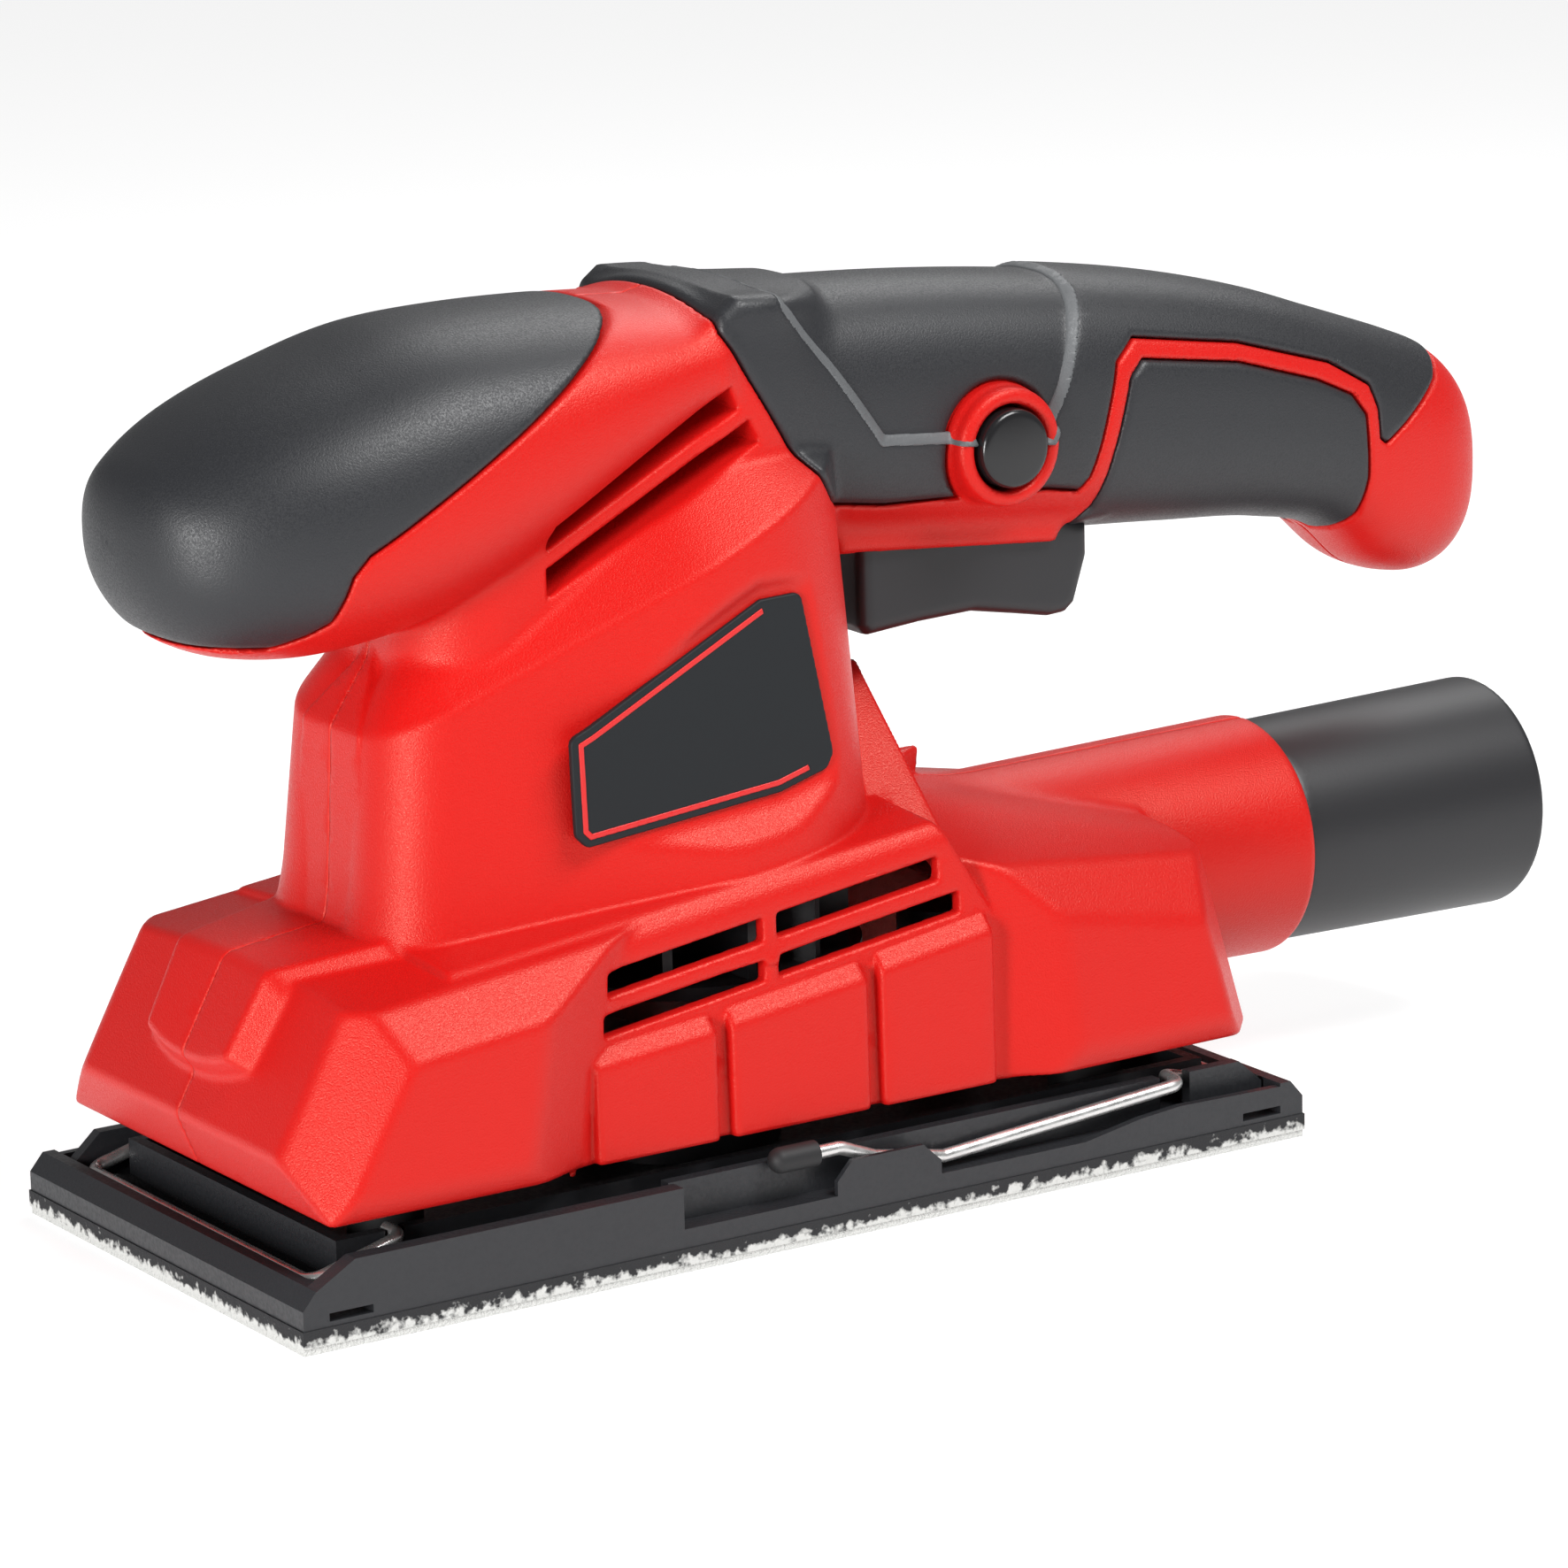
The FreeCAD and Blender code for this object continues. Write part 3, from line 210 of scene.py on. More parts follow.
NECK_SIDE = [
    (-56, 88), (-56, 98), (-50, 108), (-6, 140), (3, 146.4), (24, 145.2), (33, 118), (34, 100), (31, 88),
]
RAIL_SIDE = [(24, 112), (27, 100.9), (69, 97.2), (71, 100.4), (78, 101.4), (80, 112)]
RIM_X, RIM_Z, RIM_SLOPE = -60.0, 84.0, math.radians(24.2)
TUBE_Z = 38.8


def above_rim(x, z):
    return (z - RIM_Z) * math.cos(RIM_SLOPE) - (x - RIM_X) * math.sin(RIM_SLOPE)


def tower_walls(x, y, z):
    up = (z - 46) / 80
    nose = (-50.5 + 8 * up, 10.8 - 4.2 * up, 13.0)
    walls = wedge(x, y, nose, (-2.5 - 3.5 * up, 33.6 - 3.2 * up), -62.5 + 5 * up, 2.5)
    foot = np.maximum(1 - (z - 52) / 9, 0)
    return walls - 0.9 * foot * foot


def tower(x, y, z):
    walls = tower_walls(x, y, z)
    rise = above_rim(x, z)
    bevel = (walls + rise) / 1.414
    body = smax(smax(walls, bevel, 0.6), rise - 9.5, 1.6)
    return np.maximum(body, 44 - z)


def knob(x, y, z):
    return smax(loft(x, y, z, KNOB, -97.2, 2.35), x - 2, 4)


def handle(x, y, z):
    return smax(loft(x, y, z, HANDLE, 159.6, 2.5), -2 - x, 4)


def neck(x, y, z):
    plan = wedge(x, y, (-38, 5.2, 14.8), (6, 21.8), -52.8)
    return smax(plan, outline(x, z, NECK_SIDE), 3)


def skirt(x, y, z):
    across = np.abs(y)
    front = facets(x, y, z, FRONT_BLOCK, (-60, 10, 30), 0.9)
    corner = facets(x, y, z, FRONT_CORNER, (-60, 10, 30), 9)
    front = smax(front, corner, 0.9)
    deck = 51.2 + 0.122 * (x + 78.8) - z
    slope = ((-90 + (z - 26.8) * 0.564) - x) * 0.871
    top = smax(-deck, slope - 3.4 - 0.035 * np.minimum(across, 14), 1.4)
    flank = across - 14.5 - 0.19 * (x + 78.8)
    lip = (36.2 + 0.012 * across * across) - z
    hump = smax(smax(top, (flank + 0.727 * top) / 1.236, 0.9), (lip + 0.9 * top) / 1.345, 0.8)
    hump = np.maximum(hump, x + 40)
    middle = facets(x, y, z, MIDDLE_BLOCK, (0, 10, 30), 0.9)
    pads = None
    for start, end, height, rise in PADS:
        middle_x = (start + end) / 2
        level = z - height - rise * (x - start)
        face = across - 39.3 + 0.02 * (z - 18)
        pad = smax(smax(np.abs(x - middle_x) - (end - start) / 2, face, 0.9), 17.8 - z, 0.8)
        pad = smax(pad, (level + face) / 1.2, 0.9)
        pads = pad if pads is None else np.minimum(pads, pad)
    middle = np.minimum(middle, pads)
    rear = facets(x, y, z, REAR_BLOCK, (62, 10, 30), 1.0)
    body = smin(smin(front, middle, 0.7), rear, 0.7)
    return smin(body, hump, 0.8)


def tail_tube(x, y, z):
    radius = 18.6 + (x - 26) * 0.02005
    return smax(np.sqrt(y * y + (z - TUBE_Z) ** 2) - radius, np.maximum(x - 115.7, 30 - x), 1.6)


def form(x, y, z):
    """Everything that is moulded in the housing and its grips, before openings."""
    head = smin(smin(knob(x, y, z), neck(x, y, z), 2.0), handle(x, y, z), 4)
    rail = smax(outline(x, z, RAIL_SIDE), np.abs(y) - 12.6, 2.2)
    head = smin(head, rail, 2.0)
    body = smin(tower(x, y, z), head, 1.2)
    low = smin(skirt(x, y, z), tail_tube(x, y, z), 1.2)
    return smin(body, low, 0.8)


# ---- meshing ----

def gradient(field, points, reach=0.12):
    x, y, z = points.T
    return np.stack([
        field(x + reach, y, z) - field(x - reach, y, z),
        field(x, y + reach, z) - field(x, y - reach, z),
        field(x, y, z + reach) - field(x, y, z - reach),
    ], axis=1) / (2 * reach)


def settle(field, points, turns=4):
    """Move points onto the field's zero surface."""
    for _ in range(turns):
        slope = gradient(field, points)
        steep = np.maximum((slope * slope).sum(1), 0.05)
        move = (field(*points.T) / steep)[:, None] * slope
        size = np.linalg.norm(move, axis=1)[:, None]
        points = points - move * np.minimum(1, 0.4 * STEP / np.maximum(size, 1e-9))
    return points


def net(field, low, high, step):
    """Quads round the field's zero surface: one vertex in each grid cell that it crosses."""
    axes = [np.arange(a, b + step, step) for a, b in zip(low, high)]
    value = np.empty([len(axis) for axis in axes], np.float32)
    for start in range(0, len(axes[0]), 24):
        x = axes[0][start:start + 24, None, None]
        value[start:start + 24] = field(x, axes[1][None, :, None], axes[2][None, None, :])
    shape = value.shape
    inside = value < 0
    cells, sums, quads = [], [], []
    for axis in range(3):
        here = [slice(None)] * 3
        there = [slice(None)] * 3
        here[axis], there[axis] = slice(0, -1), slice(1, None)
        crossed = inside[tuple(here)] != inside[tuple(there)]
        at = np.argwhere(crossed)
        step_one = np.zeros(3, int)
        step_one[axis] = 1
        first, second = value[tuple(at.T)], value[tuple((at + step_one).T)]
        place = at.astype(float)
        place[:, axis] += first / (first - second)
        u, v = (axis + 1) % 3, (axis + 2) % 3
        ring = []
        for du, dv in ((-1, -1), (0, -1), (0, 0), (-1, 0)):
            cell = at.copy()
            cell[:, u] += du
            cell[:, v] += dv
            ring.append(np.ravel_multi_index(tuple(np.clip(cell, 0, None).T), shape))
            cells.append(ring[-1])
            sums.append(place)
        quad = np.stack(ring, axis=1)
        back = first > second
        quad[back] = quad[back][:, ::-1]
        quads.append(quad)
    cells, sums = np.concatenate(cells), np.concatenate(sums)
    used, index = np.unique(cells, return_inverse=True)
    count = np.bincount(index)
    middle = np.stack([np.bincount(index, sums[:, i]) / count for i in range(3)], axis=1)
    points = middle * step + np.array([axis[0] for axis in axes])
    return points, np.searchsorted(used, np.concatenate(quads))


def solidify(name, field, low, high, step=None, keep=0.5):
    """Mesh a field between two corners, settle it and thin it out."""
    step = step or STEP
    points, quads = net(field, np.array(low, float) - 1, np.array(high, float) + 1, step)
    points = settle(field, points)
    mesh = bpy.data.meshes.new(name)
    mesh.from_pydata((points / 1000).tolist(), [], quads.tolist())
    mesh.update()
    thing = bpy.data.objects.new(name, mesh)
    bpy.context.scene.collection.objects.link(thing)
    if keep < 1:
        thin = thing.modifiers.new("thin", "DECIMATE")
        thin.ratio = keep
        thinned = bpy.data.meshes.new_from_object(thing.evaluated_get(bpy.context.evaluated_depsgraph_get()))
        thing.modifiers.clear()
        thing.data = thinned
    mesh = thing.data
    flat = np.empty(len(mesh.vertices) * 3)
    mesh.vertices.foreach_get("co", flat)
    points = settle(field, flat.reshape(-1, 3) * 1000, 2)
    mesh.vertices.foreach_set("co", (points / 1000).ravel())
    mesh.update()
    mesh.polygons.foreach_set("use_smooth", [True] * len(mesh.polygons))
    return thing


# ---- grips, openings and hollows ----

KNOB_SEAM = [
    (-104, 105.5), (-89, 101.9), (-79, 101.6), (-74.5, 103.8), (-71.6, 105.8), (-70.4, 109.6),
    (-69.5, 113), (-67, 116), (-61.6, 118.9), (-49.5, 125.7), (-38.7, 131.8), (-25.5, 139.5), (-19, 143),
    (-14, 145.2), (-11, 150), (-104, 150),
]
GRIP_EDGE = [
    (-3, 154), (-1.2, 147), (-0.7, 141.3), (6.8, 129.3), (12.6, 120.1), (18.5, 112.8), (22.5, 110.4),
    (33, 108.9), (64, 107.6), (70.5, 106.4), (72.2, 108.5), (77.2, 127), (81.2, 130.3), (102.5, 126.9),
    (121.5, 121.3), (129.8, 116.6), (131.3, 112.5), (131.6, 107.4), (133.2, 106.2), (137.7, 108.9),
    (146.7, 114.8), (152, 121), (155, 130), (155, 154),
]
PANEL_EDGE = [
    (70.2, 98), (74, 103), (76, 112.4), (79.4, 124.5), (82.2, 127.2), (102.2, 124.2), (118.6, 119.2),
    (126, 115.8), (129, 112), (130, 101), (129.6, 94.5), (127, 88), (70, 88),
]
THUMB_REST = [
    (9.5, 152), (11, 143.5), (20.2, 133), (30.2, 119.3), (45.5, 117.8), (62, 116), (66.5, 123.5),
    (70.8, 133.5), (73.4, 138.3), (74.2, 142), (74.4, 152),
]
LABEL = [
    (-34.4, 82.8), (-31.3, 84.4), (0.7, 100.2), (8.3, 100.6), (13.6, 74.4), (12.6, 71.6), (3.6, 69),
    (-33, 65.4), (-34.2, 67.2),
]
LABEL_CORE = [
    (-32.8, 82.2), (-30.4, 83.2), (1.0, 98.8), (6.8, 99.0), (11.9, 74.3), (11.2, 73.0), (3.2, 70.7),
    (-31.4, 67.4), (-32.4, 68.4),
]
LABEL_DEEP = 28.9
WALL = 2.7
GRIP_DEEP = 2.0
KNOB_SOLID_X = -74
SEAM_HALF = 0.04
BUTTON_X, BUTTON_Z = 53.5, 116.6
SKIRT_SLOTS = [((-33.5, 47.4), (28.8, 55.9), 3.9), ((-34.4, 40.7), (32.6, 49.7), 3.5)]
NECK_SLOTS = [
    [(-32.1, 115.3), (0.3, 132.9), (2.2, 129.3), (-32.1, 111.0)],
    [(-32.1, 108.1), (4.1, 127.3), (6.0, 123.7), (-32.1, 103.5)],
]
SCREWS = [
    (-68, 36.5, 41.0), (66, 36.5, 40.6), (-50, 60, 26.5),
    (-44, 102, 22.8), (15, 108, 22.3), (136.5, 98, 16.4),
]


def ring_round_button(x, y, z):
    radius = np.sqrt((x - BUTTON_X) ** 2 + (z - BUTTON_Z) ** 2)
    bead = smax(radius - 9.7, np.maximum(-22.5 - y, y + 12), 1.6)
    return smax(bead, 6.75 - radius, 0.9)


def moulded(x, y, z):
    """Outer form with the button's ring."""
    return smin(form(x, y, z), ring_round_button(x, y, z), 0.8)


def slots(x, y, z):
    across = np.abs(y)
    cut = None
    for (x0, z0), (x1, z1), height in SKIRT_SLOTS:
        level = z0 + (z1 - z0) / (x1 - x0) * (x - x0)
        tall = np.abs(z - level + height / 2) - height / 2
        side = smax(tall, np.abs(x - (x0 + x1) / 2) - (x1 - x0) / 2, 0.7)
        side = smax(side, 1.3 - np.abs(x + 3.1), 0.7)
        cut = side if cut is None else np.minimum(cut, side)
    cut = np.maximum(cut, 29 - across)
    for points in NECK_SLOTS:
        cut = np.minimum(cut, np.maximum(smax(outline(x, z, points), 2.5 - across, 0.6), across - 30))
    return cut


def hollow(x, y, z):
    """Fan chamber with its open floor, motor bay and dust duct."""
    chamber = skirt(x, y, np.maximum(z, 22)) + WALL
    bay = tube(x - 1, y, z, 27.2, 36, 97, 0.8)
    duct = np.maximum(np.sqrt(y * y + (z - TUBE_Z) ** 2) - 16.3, 40 - x)
    socket = np.maximum(np.sqrt(y * y + (z - TUBE_Z) ** 2) - 18.3, 101.8 - x)
    return np.minimum(np.minimum(chamber, bay), np.minimum(duct, socket))


def label_recess(x, y, z):
    deep = np.abs(y) - LABEL_DEEP
    edge = outline(x, z, LABEL) - 1.2
    return smax(-deep, (edge - 1.15 * deep) / 1.52, 1.2)


def screw_holes(x, y, z):
    cut = None
    for place_x, place_z, face in SCREWS:
        radius = np.sqrt((x - place_x) ** 2 + (z - place_z) ** 2)
        hole = np.maximum(radius - 3.4, face - 5.6 - y)
        cut = hole if cut is None else np.minimum(cut, hole)
    return cut


def trigger_way(x, y, z):
    well = bar(x - 54.2, y, z - 94, (24.4, 11.0, 13.2), 1.5)
    button = np.maximum(np.sqrt((x - BUTTON_X) ** 2 + (z - BUTTON_Z) ** 2) - 6.9, y + 13)
    inlet = tube(x - 145, y, z, 4.2, 70, 98, 0.3)
    return np.minimum(np.minimum(well, button), inlet)


def knob_region(x, z):
    return outline(x, z, KNOB_SEAM)


def grip_region(x, y, z):
    edge = outline(x, z, GRIP_EDGE)
    radius = np.sqrt((x - BUTTON_X) ** 2 + (z - BUTTON_Z) ** 2)
    return np.maximum(edge, np.where(y < 0, 10.1 - radius, -50))


def panel_region(x, y, z):
    return np.maximum(outline(x, z, PANEL_EDGE), 2.0 - np.abs(y))


def bed(x, outer):
    """Floor under the grips, 2 mm down; the knob's tip is grip right through."""
    return np.minimum(-outer - GRIP_DEEP, x - KNOB_SOLID_X)


def skin(x, outer, region, raised=0.1):
    """Soft skin over the form inside a region, with rounded borders and a fine gap to the red."""
    return smax(smax(outer - raised, region + 0.28, 1.3), bed(x, outer), 0.3)


def red(x, y, z):
    """The housing as one piece: the form, sunk under the grips, less every opening."""
    outer = moulded(x, y, z)
    soft = np.minimum(np.minimum(knob_region(x, z), grip_region(x, y, z)), panel_region(x, y, z))
    sunk = smax(outer, -smax(soft, bed(x, outer), 0.5), 0.5)
    body = smax(sunk, -label_recess(x, y, z), 1.0)
    body = smax(body, -slots(x, y, z), 0.7)
    body = smax(body, -screw_holes(x, y, z), 0.6)
    body = smax(body, -trigger_way(x, y, z), 1.0)
    return smax(body, -hollow(x, y, z), 0.6)


def left_shell(x, y, z):
    return smax(red(x, y, z), y + SEAM_HALF, 0.3)


def right_shell(x, y, z):
    return smax(red(x, y, z), SEAM_HALF - y, 0.3)


def knob_grip(x, y, z):
    return skin(x, moulded(x, y, z), knob_region(x, z))


def grip_face(x, y, z):
    """The handle's outer face, sunk at the thumb rest."""
    rest = np.clip(-outline(x, z, THUMB_REST) / 2.0, 0, 1)
    return moulded(x, y, z) + rest - 0.15


def handle_grip(x, y, z):
    return skin(x, grip_face(x, y, z), grip_region(x, y, z))


def left_side_grip(x, y, z):
    return skin(x, moulded(x, y, z), np.maximum(panel_region(x, y, z), y))


def right_side_grip(x, y, z):
    return skin(x, moulded(x, y, z), np.maximum(panel_region(x, y, z), -y))


TRIGGER = [
    (39, 106), (32, 106), (32, 88), (33.5, 86.2), (43.8, 87), (54, 87.3), (63, 85.6), (69, 84.4),
    (72.4, 84.6), (74.4, 86.2), (77, 94), (77, 99.5), (70, 102), (42, 102),
]


def trigger(x, y, z):
    return smax(outline(x, z, TRIGGER) + 0.2, np.abs(y) - 10.5, 2.4)


def lock_button(x, y, z):
    radius = np.sqrt((x - BUTTON_X) ** 2 + (z - BUTTON_Z) ** 2)
    dome = y + 24.25 - 0.012 * radius * radius
    return smax(radius - 6.45, np.maximum(-dome, y + 18), 1.1)


def adapter(x, y, z):
    radius = np.sqrt(y * y + (z - TUBE_Z) ** 2)
    outer = 18.9 + np.clip(x - 115.8, 0, 60) * 0.0184 - 0.7 * np.clip(116.2 - x, 0, 1)
    body = smax(radius - outer, np.abs(x - 133.35) - 31.35, 0.9)
    return smax(body, 16.4 - radius, 0.9)


def name_plate(x, y, z):
    return smax(outline(x, z, LABEL_CORE) - 1.6, np.abs(y + LABEL_DEEP + 0.1) - 0.6, 0.3)


def label_line(x, y, z):
    """Thin red border on the label, left open at its tail end."""
    line = np.abs(outline(x, z, LABEL_CORE) + 0.1) - 0.45
    return np.maximum(smax(line, np.abs(y + LABEL_DEEP + 0.65) - 0.2, 0.1), x - 5 + 0.3 * (z - 85))


def grip_line(x, y, z):
    """Pale bevels at the two ends of the thumb rest."""
    edge = np.abs(outline(x, z, THUMB_REST) + 1.0) - 0.95
    face = grip_face(x, y, z)
    return smax(smax(face - 0.28, np.maximum(edge, 115.8 - z), 0.3), -face - 0.6, 0.2)


PIECES = [
    ("left_shell", "housing", "red_plastic", left_shell, (-98, -45, 17), (160, 0.5, 148), 1, 0.5),
    ("right_shell", "housing", "red_plastic", right_shell, (-98, -0.5, 17), (160, 45, 148), 1, 0.5),
    ("knob_grip", "housing", "soft_grip", knob_grip, (-98, -31, 97), (-9, 31, 148), 1, 0.5),
    ("handle_grip", "housing", "soft_grip", handle_grip, (-6, -26, 104), (157, 26, 148), 1, 0.5),
    ("left_side_grip", "housing", "soft_grip", left_side_grip, (69, -21, 88), (133, 0, 130), 1, 0.5),
    ("right_side_grip", "housing", "soft_grip", right_side_grip, (69, 0, 88), (133, 21, 130), 1, 0.5),
    ("name_plate", "housing", "label", name_plate, (-38, -31, 62), (18, -27, 104), 0.6, 0.5),
    ("trigger", "trigger", "black_plastic", trigger, (30, -12, 82), (80, 12, 108), 0.8, 0.5),
    ("lock_button", "lock_button", "black_plastic", lock_button, (45, -26, 108), (62, -16, 125), 0.6, 0.7),
    ("dust_adapter", "adapter", "black_plastic", adapter, (100, -21, 17), (166, 21, 60), 1, 0.5),
]
shown = {}
for name, body, slot, field, low, high, fine, keep in PIECES:
    shown[name] = solidify(name + "_form", field, low, high, STEP * fine, keep)
    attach(shown[name], body)
    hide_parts(name)
    print(name, len(shown[name].data.polygons), "faces")
EXTRAS = [
    ("label_line", "label", label_line, (-38, -31, 62), (18, -28, 104), 0.3),
    ("grip_line", "soft_grip", grip_line, (5, -23, 112), (78, 23, 147), 0.7),
]
for name, slot, field, low, high, fine in EXTRAS:
    shown[name] = solidify(name, field, low, high, STEP * fine, 0.5)
    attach(shown[name], "housing")
    print(name, len(shown[name].data.polygons), "faces")


# ---- materials ----

FOAM_LOW = min(corner[2] for corner in nodes["foam_pad"].bound_box)
FLUFF_WHITE = (0.62, 0.62, 0.6, 1)
FOAM_DARK = (0.018, 0.018, 0.02, 1)


def material(name, color, roughness, **settings):
    """Principled material with its shader node and its node tree."""
    made = bpy.data.materials.new(name)
    made.use_nodes = True
    shader = made.node_tree.nodes["Principled BSDF"]
    shader.inputs["Base Color"].default_value = (*color, 1)
    shader.inputs["Roughness"].default_value = roughness
    for label, value in settings.items():
        shader.inputs[label.replace("_", " ")].default_value = value
    return made


def grain(made, scale, strength, distance, rough=None, detail=2.0):
    """Fine moulded grain: a bump and, where rough is given, a spread of roughness."""
    tree = made.node_tree
    shader = tree.nodes["Principled BSDF"]
    place = tree.nodes.new("ShaderNodeTexCoord")
    noise = tree.nodes.new("ShaderNodeTexNoise")
    noise.inputs["Scale"].default_value = scale
    noise.inputs["Detail"].default_value = detail
    tree.links.new(place.outputs["Object"], noise.inputs["Vector"])
    bump = tree.nodes.new("ShaderNodeBump")
    bump.inputs["Strength"].default_value = strength
    bump.inputs["Distance"].default_value = distance
    tree.links.new(noise.outputs["Fac"], bump.inputs["Height"])
    tree.links.new(bump.outputs["Normal"], shader.inputs["Normal"])
    if rough:
        spread = tree.nodes.new("ShaderNodeMapRange")
        spread.inputs["From Min"].default_value = 0.35
        spread.inputs["From Max"].default_value = 0.65
        spread.inputs["To Min"].default_value = rough[0]
        spread.inputs["To Max"].default_value = rough[1]
        tree.links.new(noise.outputs["Fac"], spread.inputs["Value"])
        tree.links.new(spread.outputs["Result"], shader.inputs["Roughness"])
    return made


def fringe(made, low):
    """White fluff of the loop layer climbing a dark foam's lower edge, at height low."""
    tree = made.node_tree
    shader = tree.nodes["Principled BSDF"]
    place = tree.nodes.new("ShaderNodeTexCoord")
    height = tree.nodes.new("ShaderNodeSeparateXYZ")
    fluff = tree.nodes.new("ShaderNodeTexNoise")
    fluff.inputs["Scale"].default_value = 650
    fluff.inputs["Detail"].default_value = 8
    tree.links.new(place.outputs["Object"], height.inputs["Vector"])
    tree.links.new(place.outputs["Object"], fluff.inputs["Vector"])
    drift = tree.nodes.new("ShaderNodeMath")
    drift.operation = "MULTIPLY_ADD"
    drift.inputs[1].default_value = -0.006
    tree.links.new(fluff.outputs["Fac"], drift.inputs[0])
    tree.links.new(height.outputs["Z"], drift.inputs[2])
    edge = tree.nodes.new("ShaderNodeMapRange")
    edge.inputs["From Min"].default_value = low - 0.0027
    edge.inputs["From Max"].default_value = low - 0.0017
    tree.links.new(drift.outputs["Value"], edge.inputs["Value"])
    blend = tree.nodes.new("ShaderNodeMix")
    blend.data_type = "RGBA"
    blend.inputs["A"].default_value = FLUFF_WHITE
    blend.inputs["B"].default_value = FOAM_DARK
    tree.links.new(edge.outputs["Result"], blend.inputs["Factor"])
    tree.links.new(blend.outputs["Result"], shader.inputs["Base Color"])


red_plastic = grain(material("red_plastic", (0.58, 0.007, 0.006), 0.4, Specular_IOR_Level=0.6,
                             Specular_Tint=(1, 0.5, 0.4, 1)), 3600, 0.7, 0.00012, (0.30, 0.5))
label_red = grain(material("label_red", (0.62, 0.01, 0.01), 0.4), 300, 0.02, 0.0001)
grip_pale = grain(material("grip_pale", (0.11, 0.115, 0.12), 0.5), 3200, 0.5, 0.0001, (0.42, 0.6))
soft_grip = grain(material("soft_grip", (0.018, 0.019, 0.022), 0.5), 3200, 0.5, 0.0001, (0.38, 0.56))
black_plastic = grain(material("black_plastic", (0.016, 0.016, 0.018), 0.45), 1800, 0.12, 0.0001)
plate_black = grain(material("plate_black", (0.020, 0.021, 0.024), 0.42), 1500, 0.2, 0.0002, (0.36, 0.5))
gloss_black = grain(material("gloss_black", (0.01, 0.01, 0.011), 0.22), 400, 0.02, 0.0001)
label_black = grain(material("label_black", (0.014, 0.016, 0.018), 0.5, Specular_IOR_Level=0.2),
                    300, 0.02, 0.0001)
wire_steel = grain(material("wire_steel", (0.74, 0.74, 0.73), 0.3, Metallic=0.85),
                   500, 0.10, 0.0001, (0.22, 0.38))
dark_steel = grain(material("dark_steel", (0.42, 0.42, 0.44), 0.35, Metallic=1.0), 400, 0.05, 0.0001)
rubber_black = grain(material("rubber_black", (0.012, 0.012, 0.013), 0.6), 1500, 0.15, 0.0001)
foam_black = grain(material("foam_black", (0.018, 0.018, 0.020), 0.8), 1200, 0.6, 0.0004)
fringe(foam_black, FOAM_LOW)
loop_white = grain(material("loop_white", (0.62, 0.62, 0.60), 0.9), 1800, 0.8, 0.0006)
copper = grain(material("copper", (0.60, 0.24, 0.10), 0.38, Metallic=1.0), 900, 0.2, 0.0002)
brass = grain(material("brass", (0.70, 0.48, 0.18), 0.32, Metallic=1.0), 500, 0.05, 0.0001)
cast_metal = grain(material("cast_metal", (0.60, 0.60, 0.60), 0.45, Metallic=1.0), 900, 0.2, 0.0002)
carbon = grain(material("carbon", (0.03, 0.03, 0.03), 0.6), 900, 0.1, 0.0001)

LOOKS = {
    "rating_plate": label_black, "housing_screws": dark_steel,
    "switch": black_plastic, "capacitor": gloss_black, "cord_clamp": black_plastic,
    "stator_core": dark_steel, "field_coils": copper, "brush_holders": brass, "carbon_brushes": carbon,
    "brush_springs": dark_steel, "upper_bearing": wire_steel, "lower_bearing": wire_steel,
    "bearing_bracket": cast_metal, "isolator_posts": rubber_black, "lock_button_spring": dark_steel,
    "trigger_spring": dark_steel, "motor_shaft": wire_steel, "armature_core": dark_steel,
    "armature_windings": copper, "commutator": brass, "cooling_fan": black_plastic, "eccentric": cast_metal,
    "base_plate": plate_black, "foam_pad": foam_black, "loop_layer": loop_white,
    "eccentric_bearing": wire_steel, "bearing_retainer": dark_steel, "rear_clamp_wire": wire_steel,
    "rear_clamp_tip": rubber_black, "front_clamp_wire": wire_steel, "front_clamp_tip": rubber_black,
}
for name, look in LOOKS.items():
    nodes[name].data.materials.clear()
    nodes[name].data.materials.append(look)
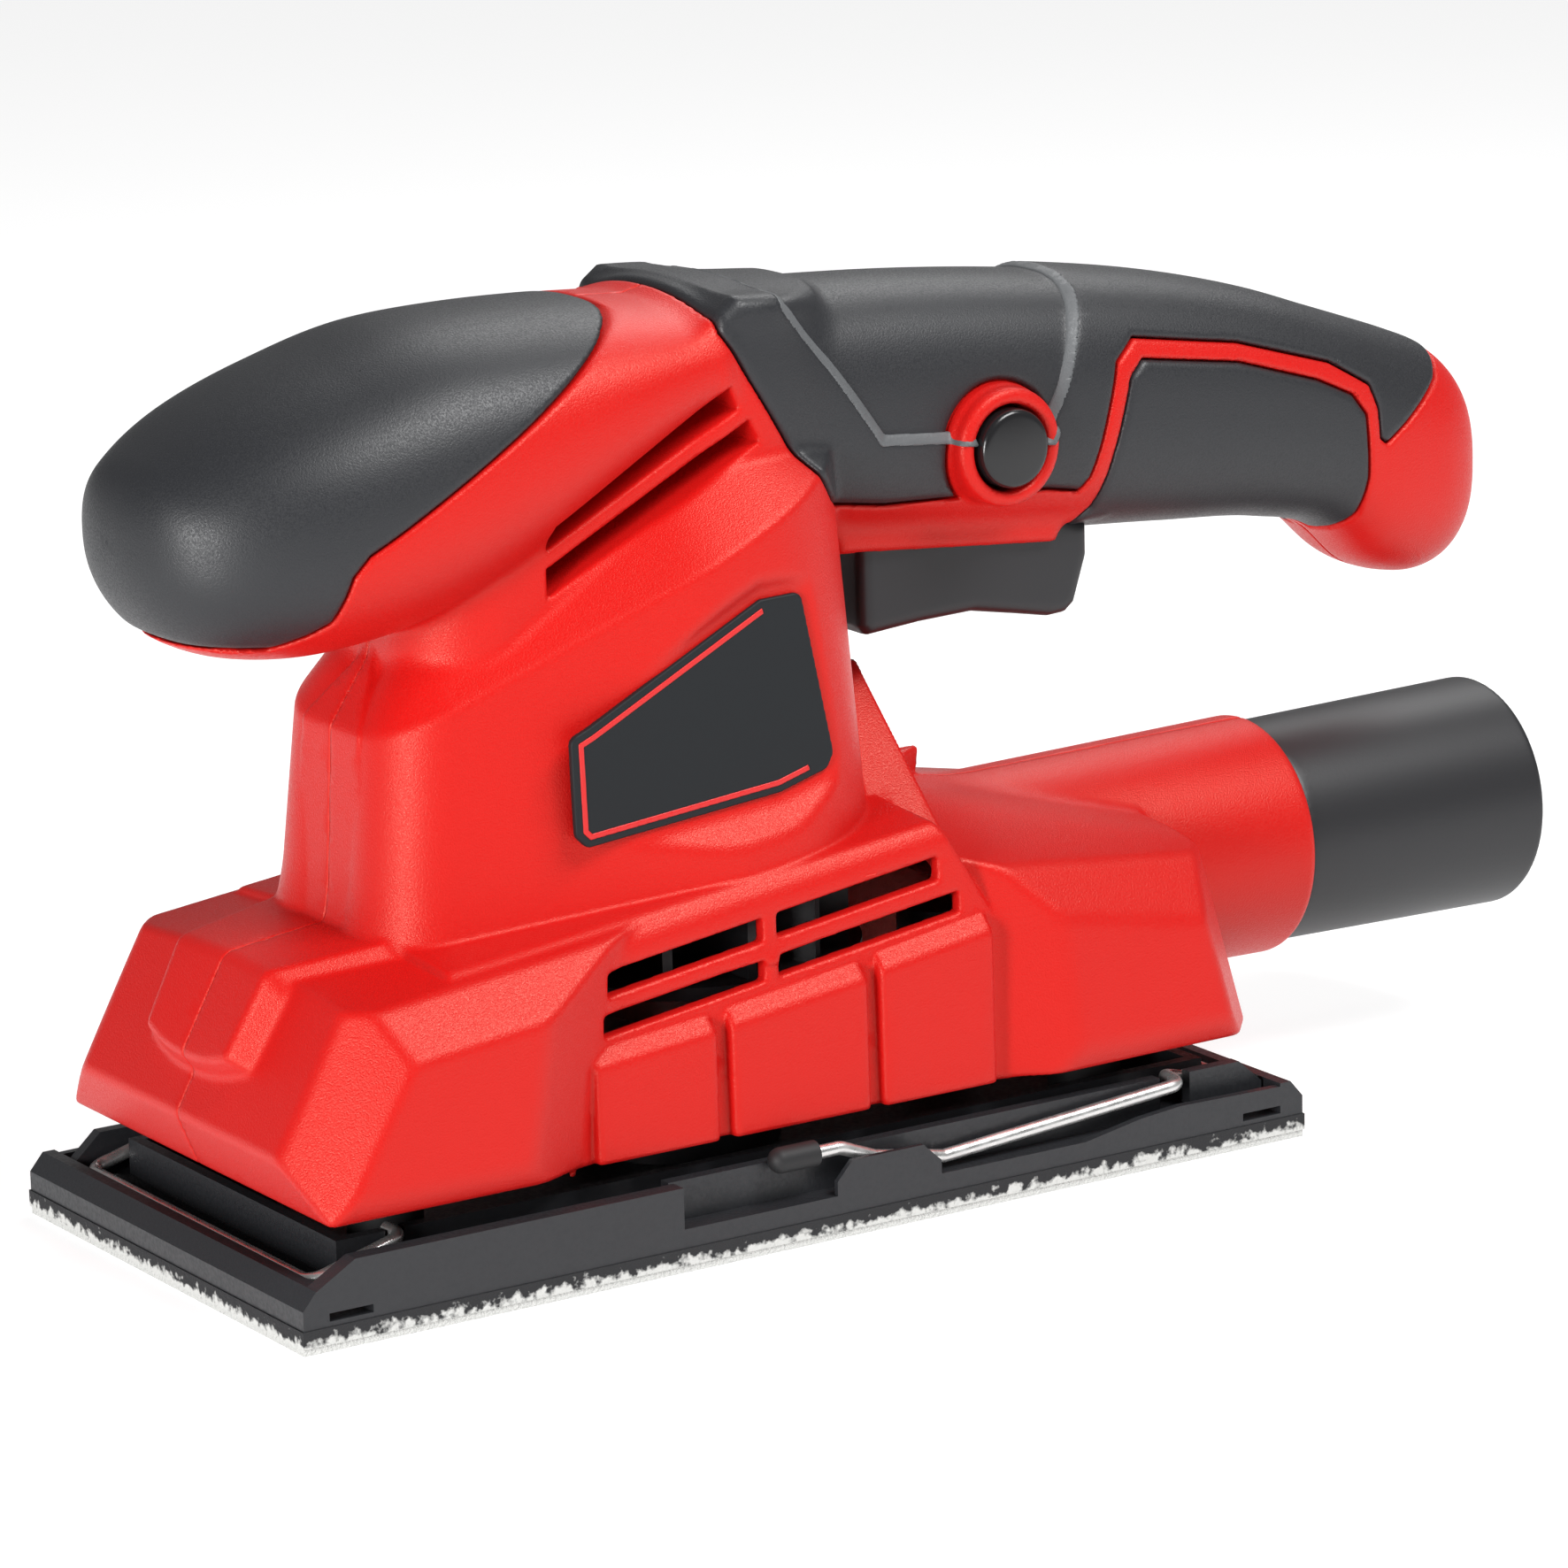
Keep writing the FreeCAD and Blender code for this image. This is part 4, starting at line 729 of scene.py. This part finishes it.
PIECE_LOOKS = {
    "left_shell": red_plastic, "right_shell": red_plastic, "knob_grip": soft_grip, "handle_grip": soft_grip,
    "left_side_grip": soft_grip, "right_side_grip": soft_grip, "trigger": black_plastic,
    "lock_button": gloss_black, "dust_adapter": black_plastic,
    "name_plate": label_black, "label_line": label_red, "grip_line": grip_pale,
}
for name, look in PIECE_LOOKS.items():
    shown[name].data.materials.append(look)


# ---- floor, light and camera ----

def area_light(name, place, target, size, power):
    data = bpy.data.lights.new(name, "AREA")
    data.shape = "RECTANGLE"
    data.size, data.size_y = size
    data.energy = power
    lamp = bpy.data.objects.new(name, data)
    lamp.location = place
    lamp.rotation_euler = (Vector(target) - Vector(place)).to_track_quat("-Z", "Y").to_euler()
    bpy.context.scene.collection.objects.link(lamp)


bpy.ops.mesh.primitive_plane_add(size=12, location=(0, 0, 0))
floor = bpy.context.object
floor.name = "floor"
floor_look = material("floor_white", (0.4, 0.4, 0.4), 0.9)
floor_shader = floor_look.node_tree.nodes["Principled BSDF"]
floor_shader.inputs["Emission Color"].default_value = (1, 1, 1, 1)
floor_shader.inputs["Emission Strength"].default_value = 0.78
floor.data.materials.append(floor_look)

world = bpy.data.worlds.new("studio")
world.use_nodes = True
world.node_tree.nodes["Background"].inputs["Color"].default_value = (1, 1, 1, 1)
world.node_tree.nodes["Background"].inputs["Strength"].default_value = 0.2
bpy.context.scene.world = world
middle = (0.02, 0, 0.08)
area_light("top_box", (0.28, -0.52, 0.86), middle, (0.5, 0.34), 9)
area_light("left_box", (-0.86, -0.36, 0.12), middle, (0.22, 0.5), 8.5)
area_light("rear_box", (0.55, 0.45, 0.8), middle, (0.6, 0.5), 3.6)

camera_data = bpy.data.cameras.new("camera")
camera_data.sensor_width = 36
camera_data.lens = 157.68488
camera = bpy.data.objects.new("camera", camera_data)
right, up, back = (0.8391, -0.5434, -0.0242), (0.1507, 0.1896, 0.9702), (-0.5226, -0.8178, 0.2410)
turn = Matrix((right, up, back)).transposed()
camera.matrix_world = Matrix.Translation((-0.5582, -0.9095, 0.3297)) @ turn.to_4x4()
bpy.context.scene.collection.objects.link(camera)
bpy.context.scene.camera = camera
bpy.context.scene.view_settings.view_transform = "Standard"
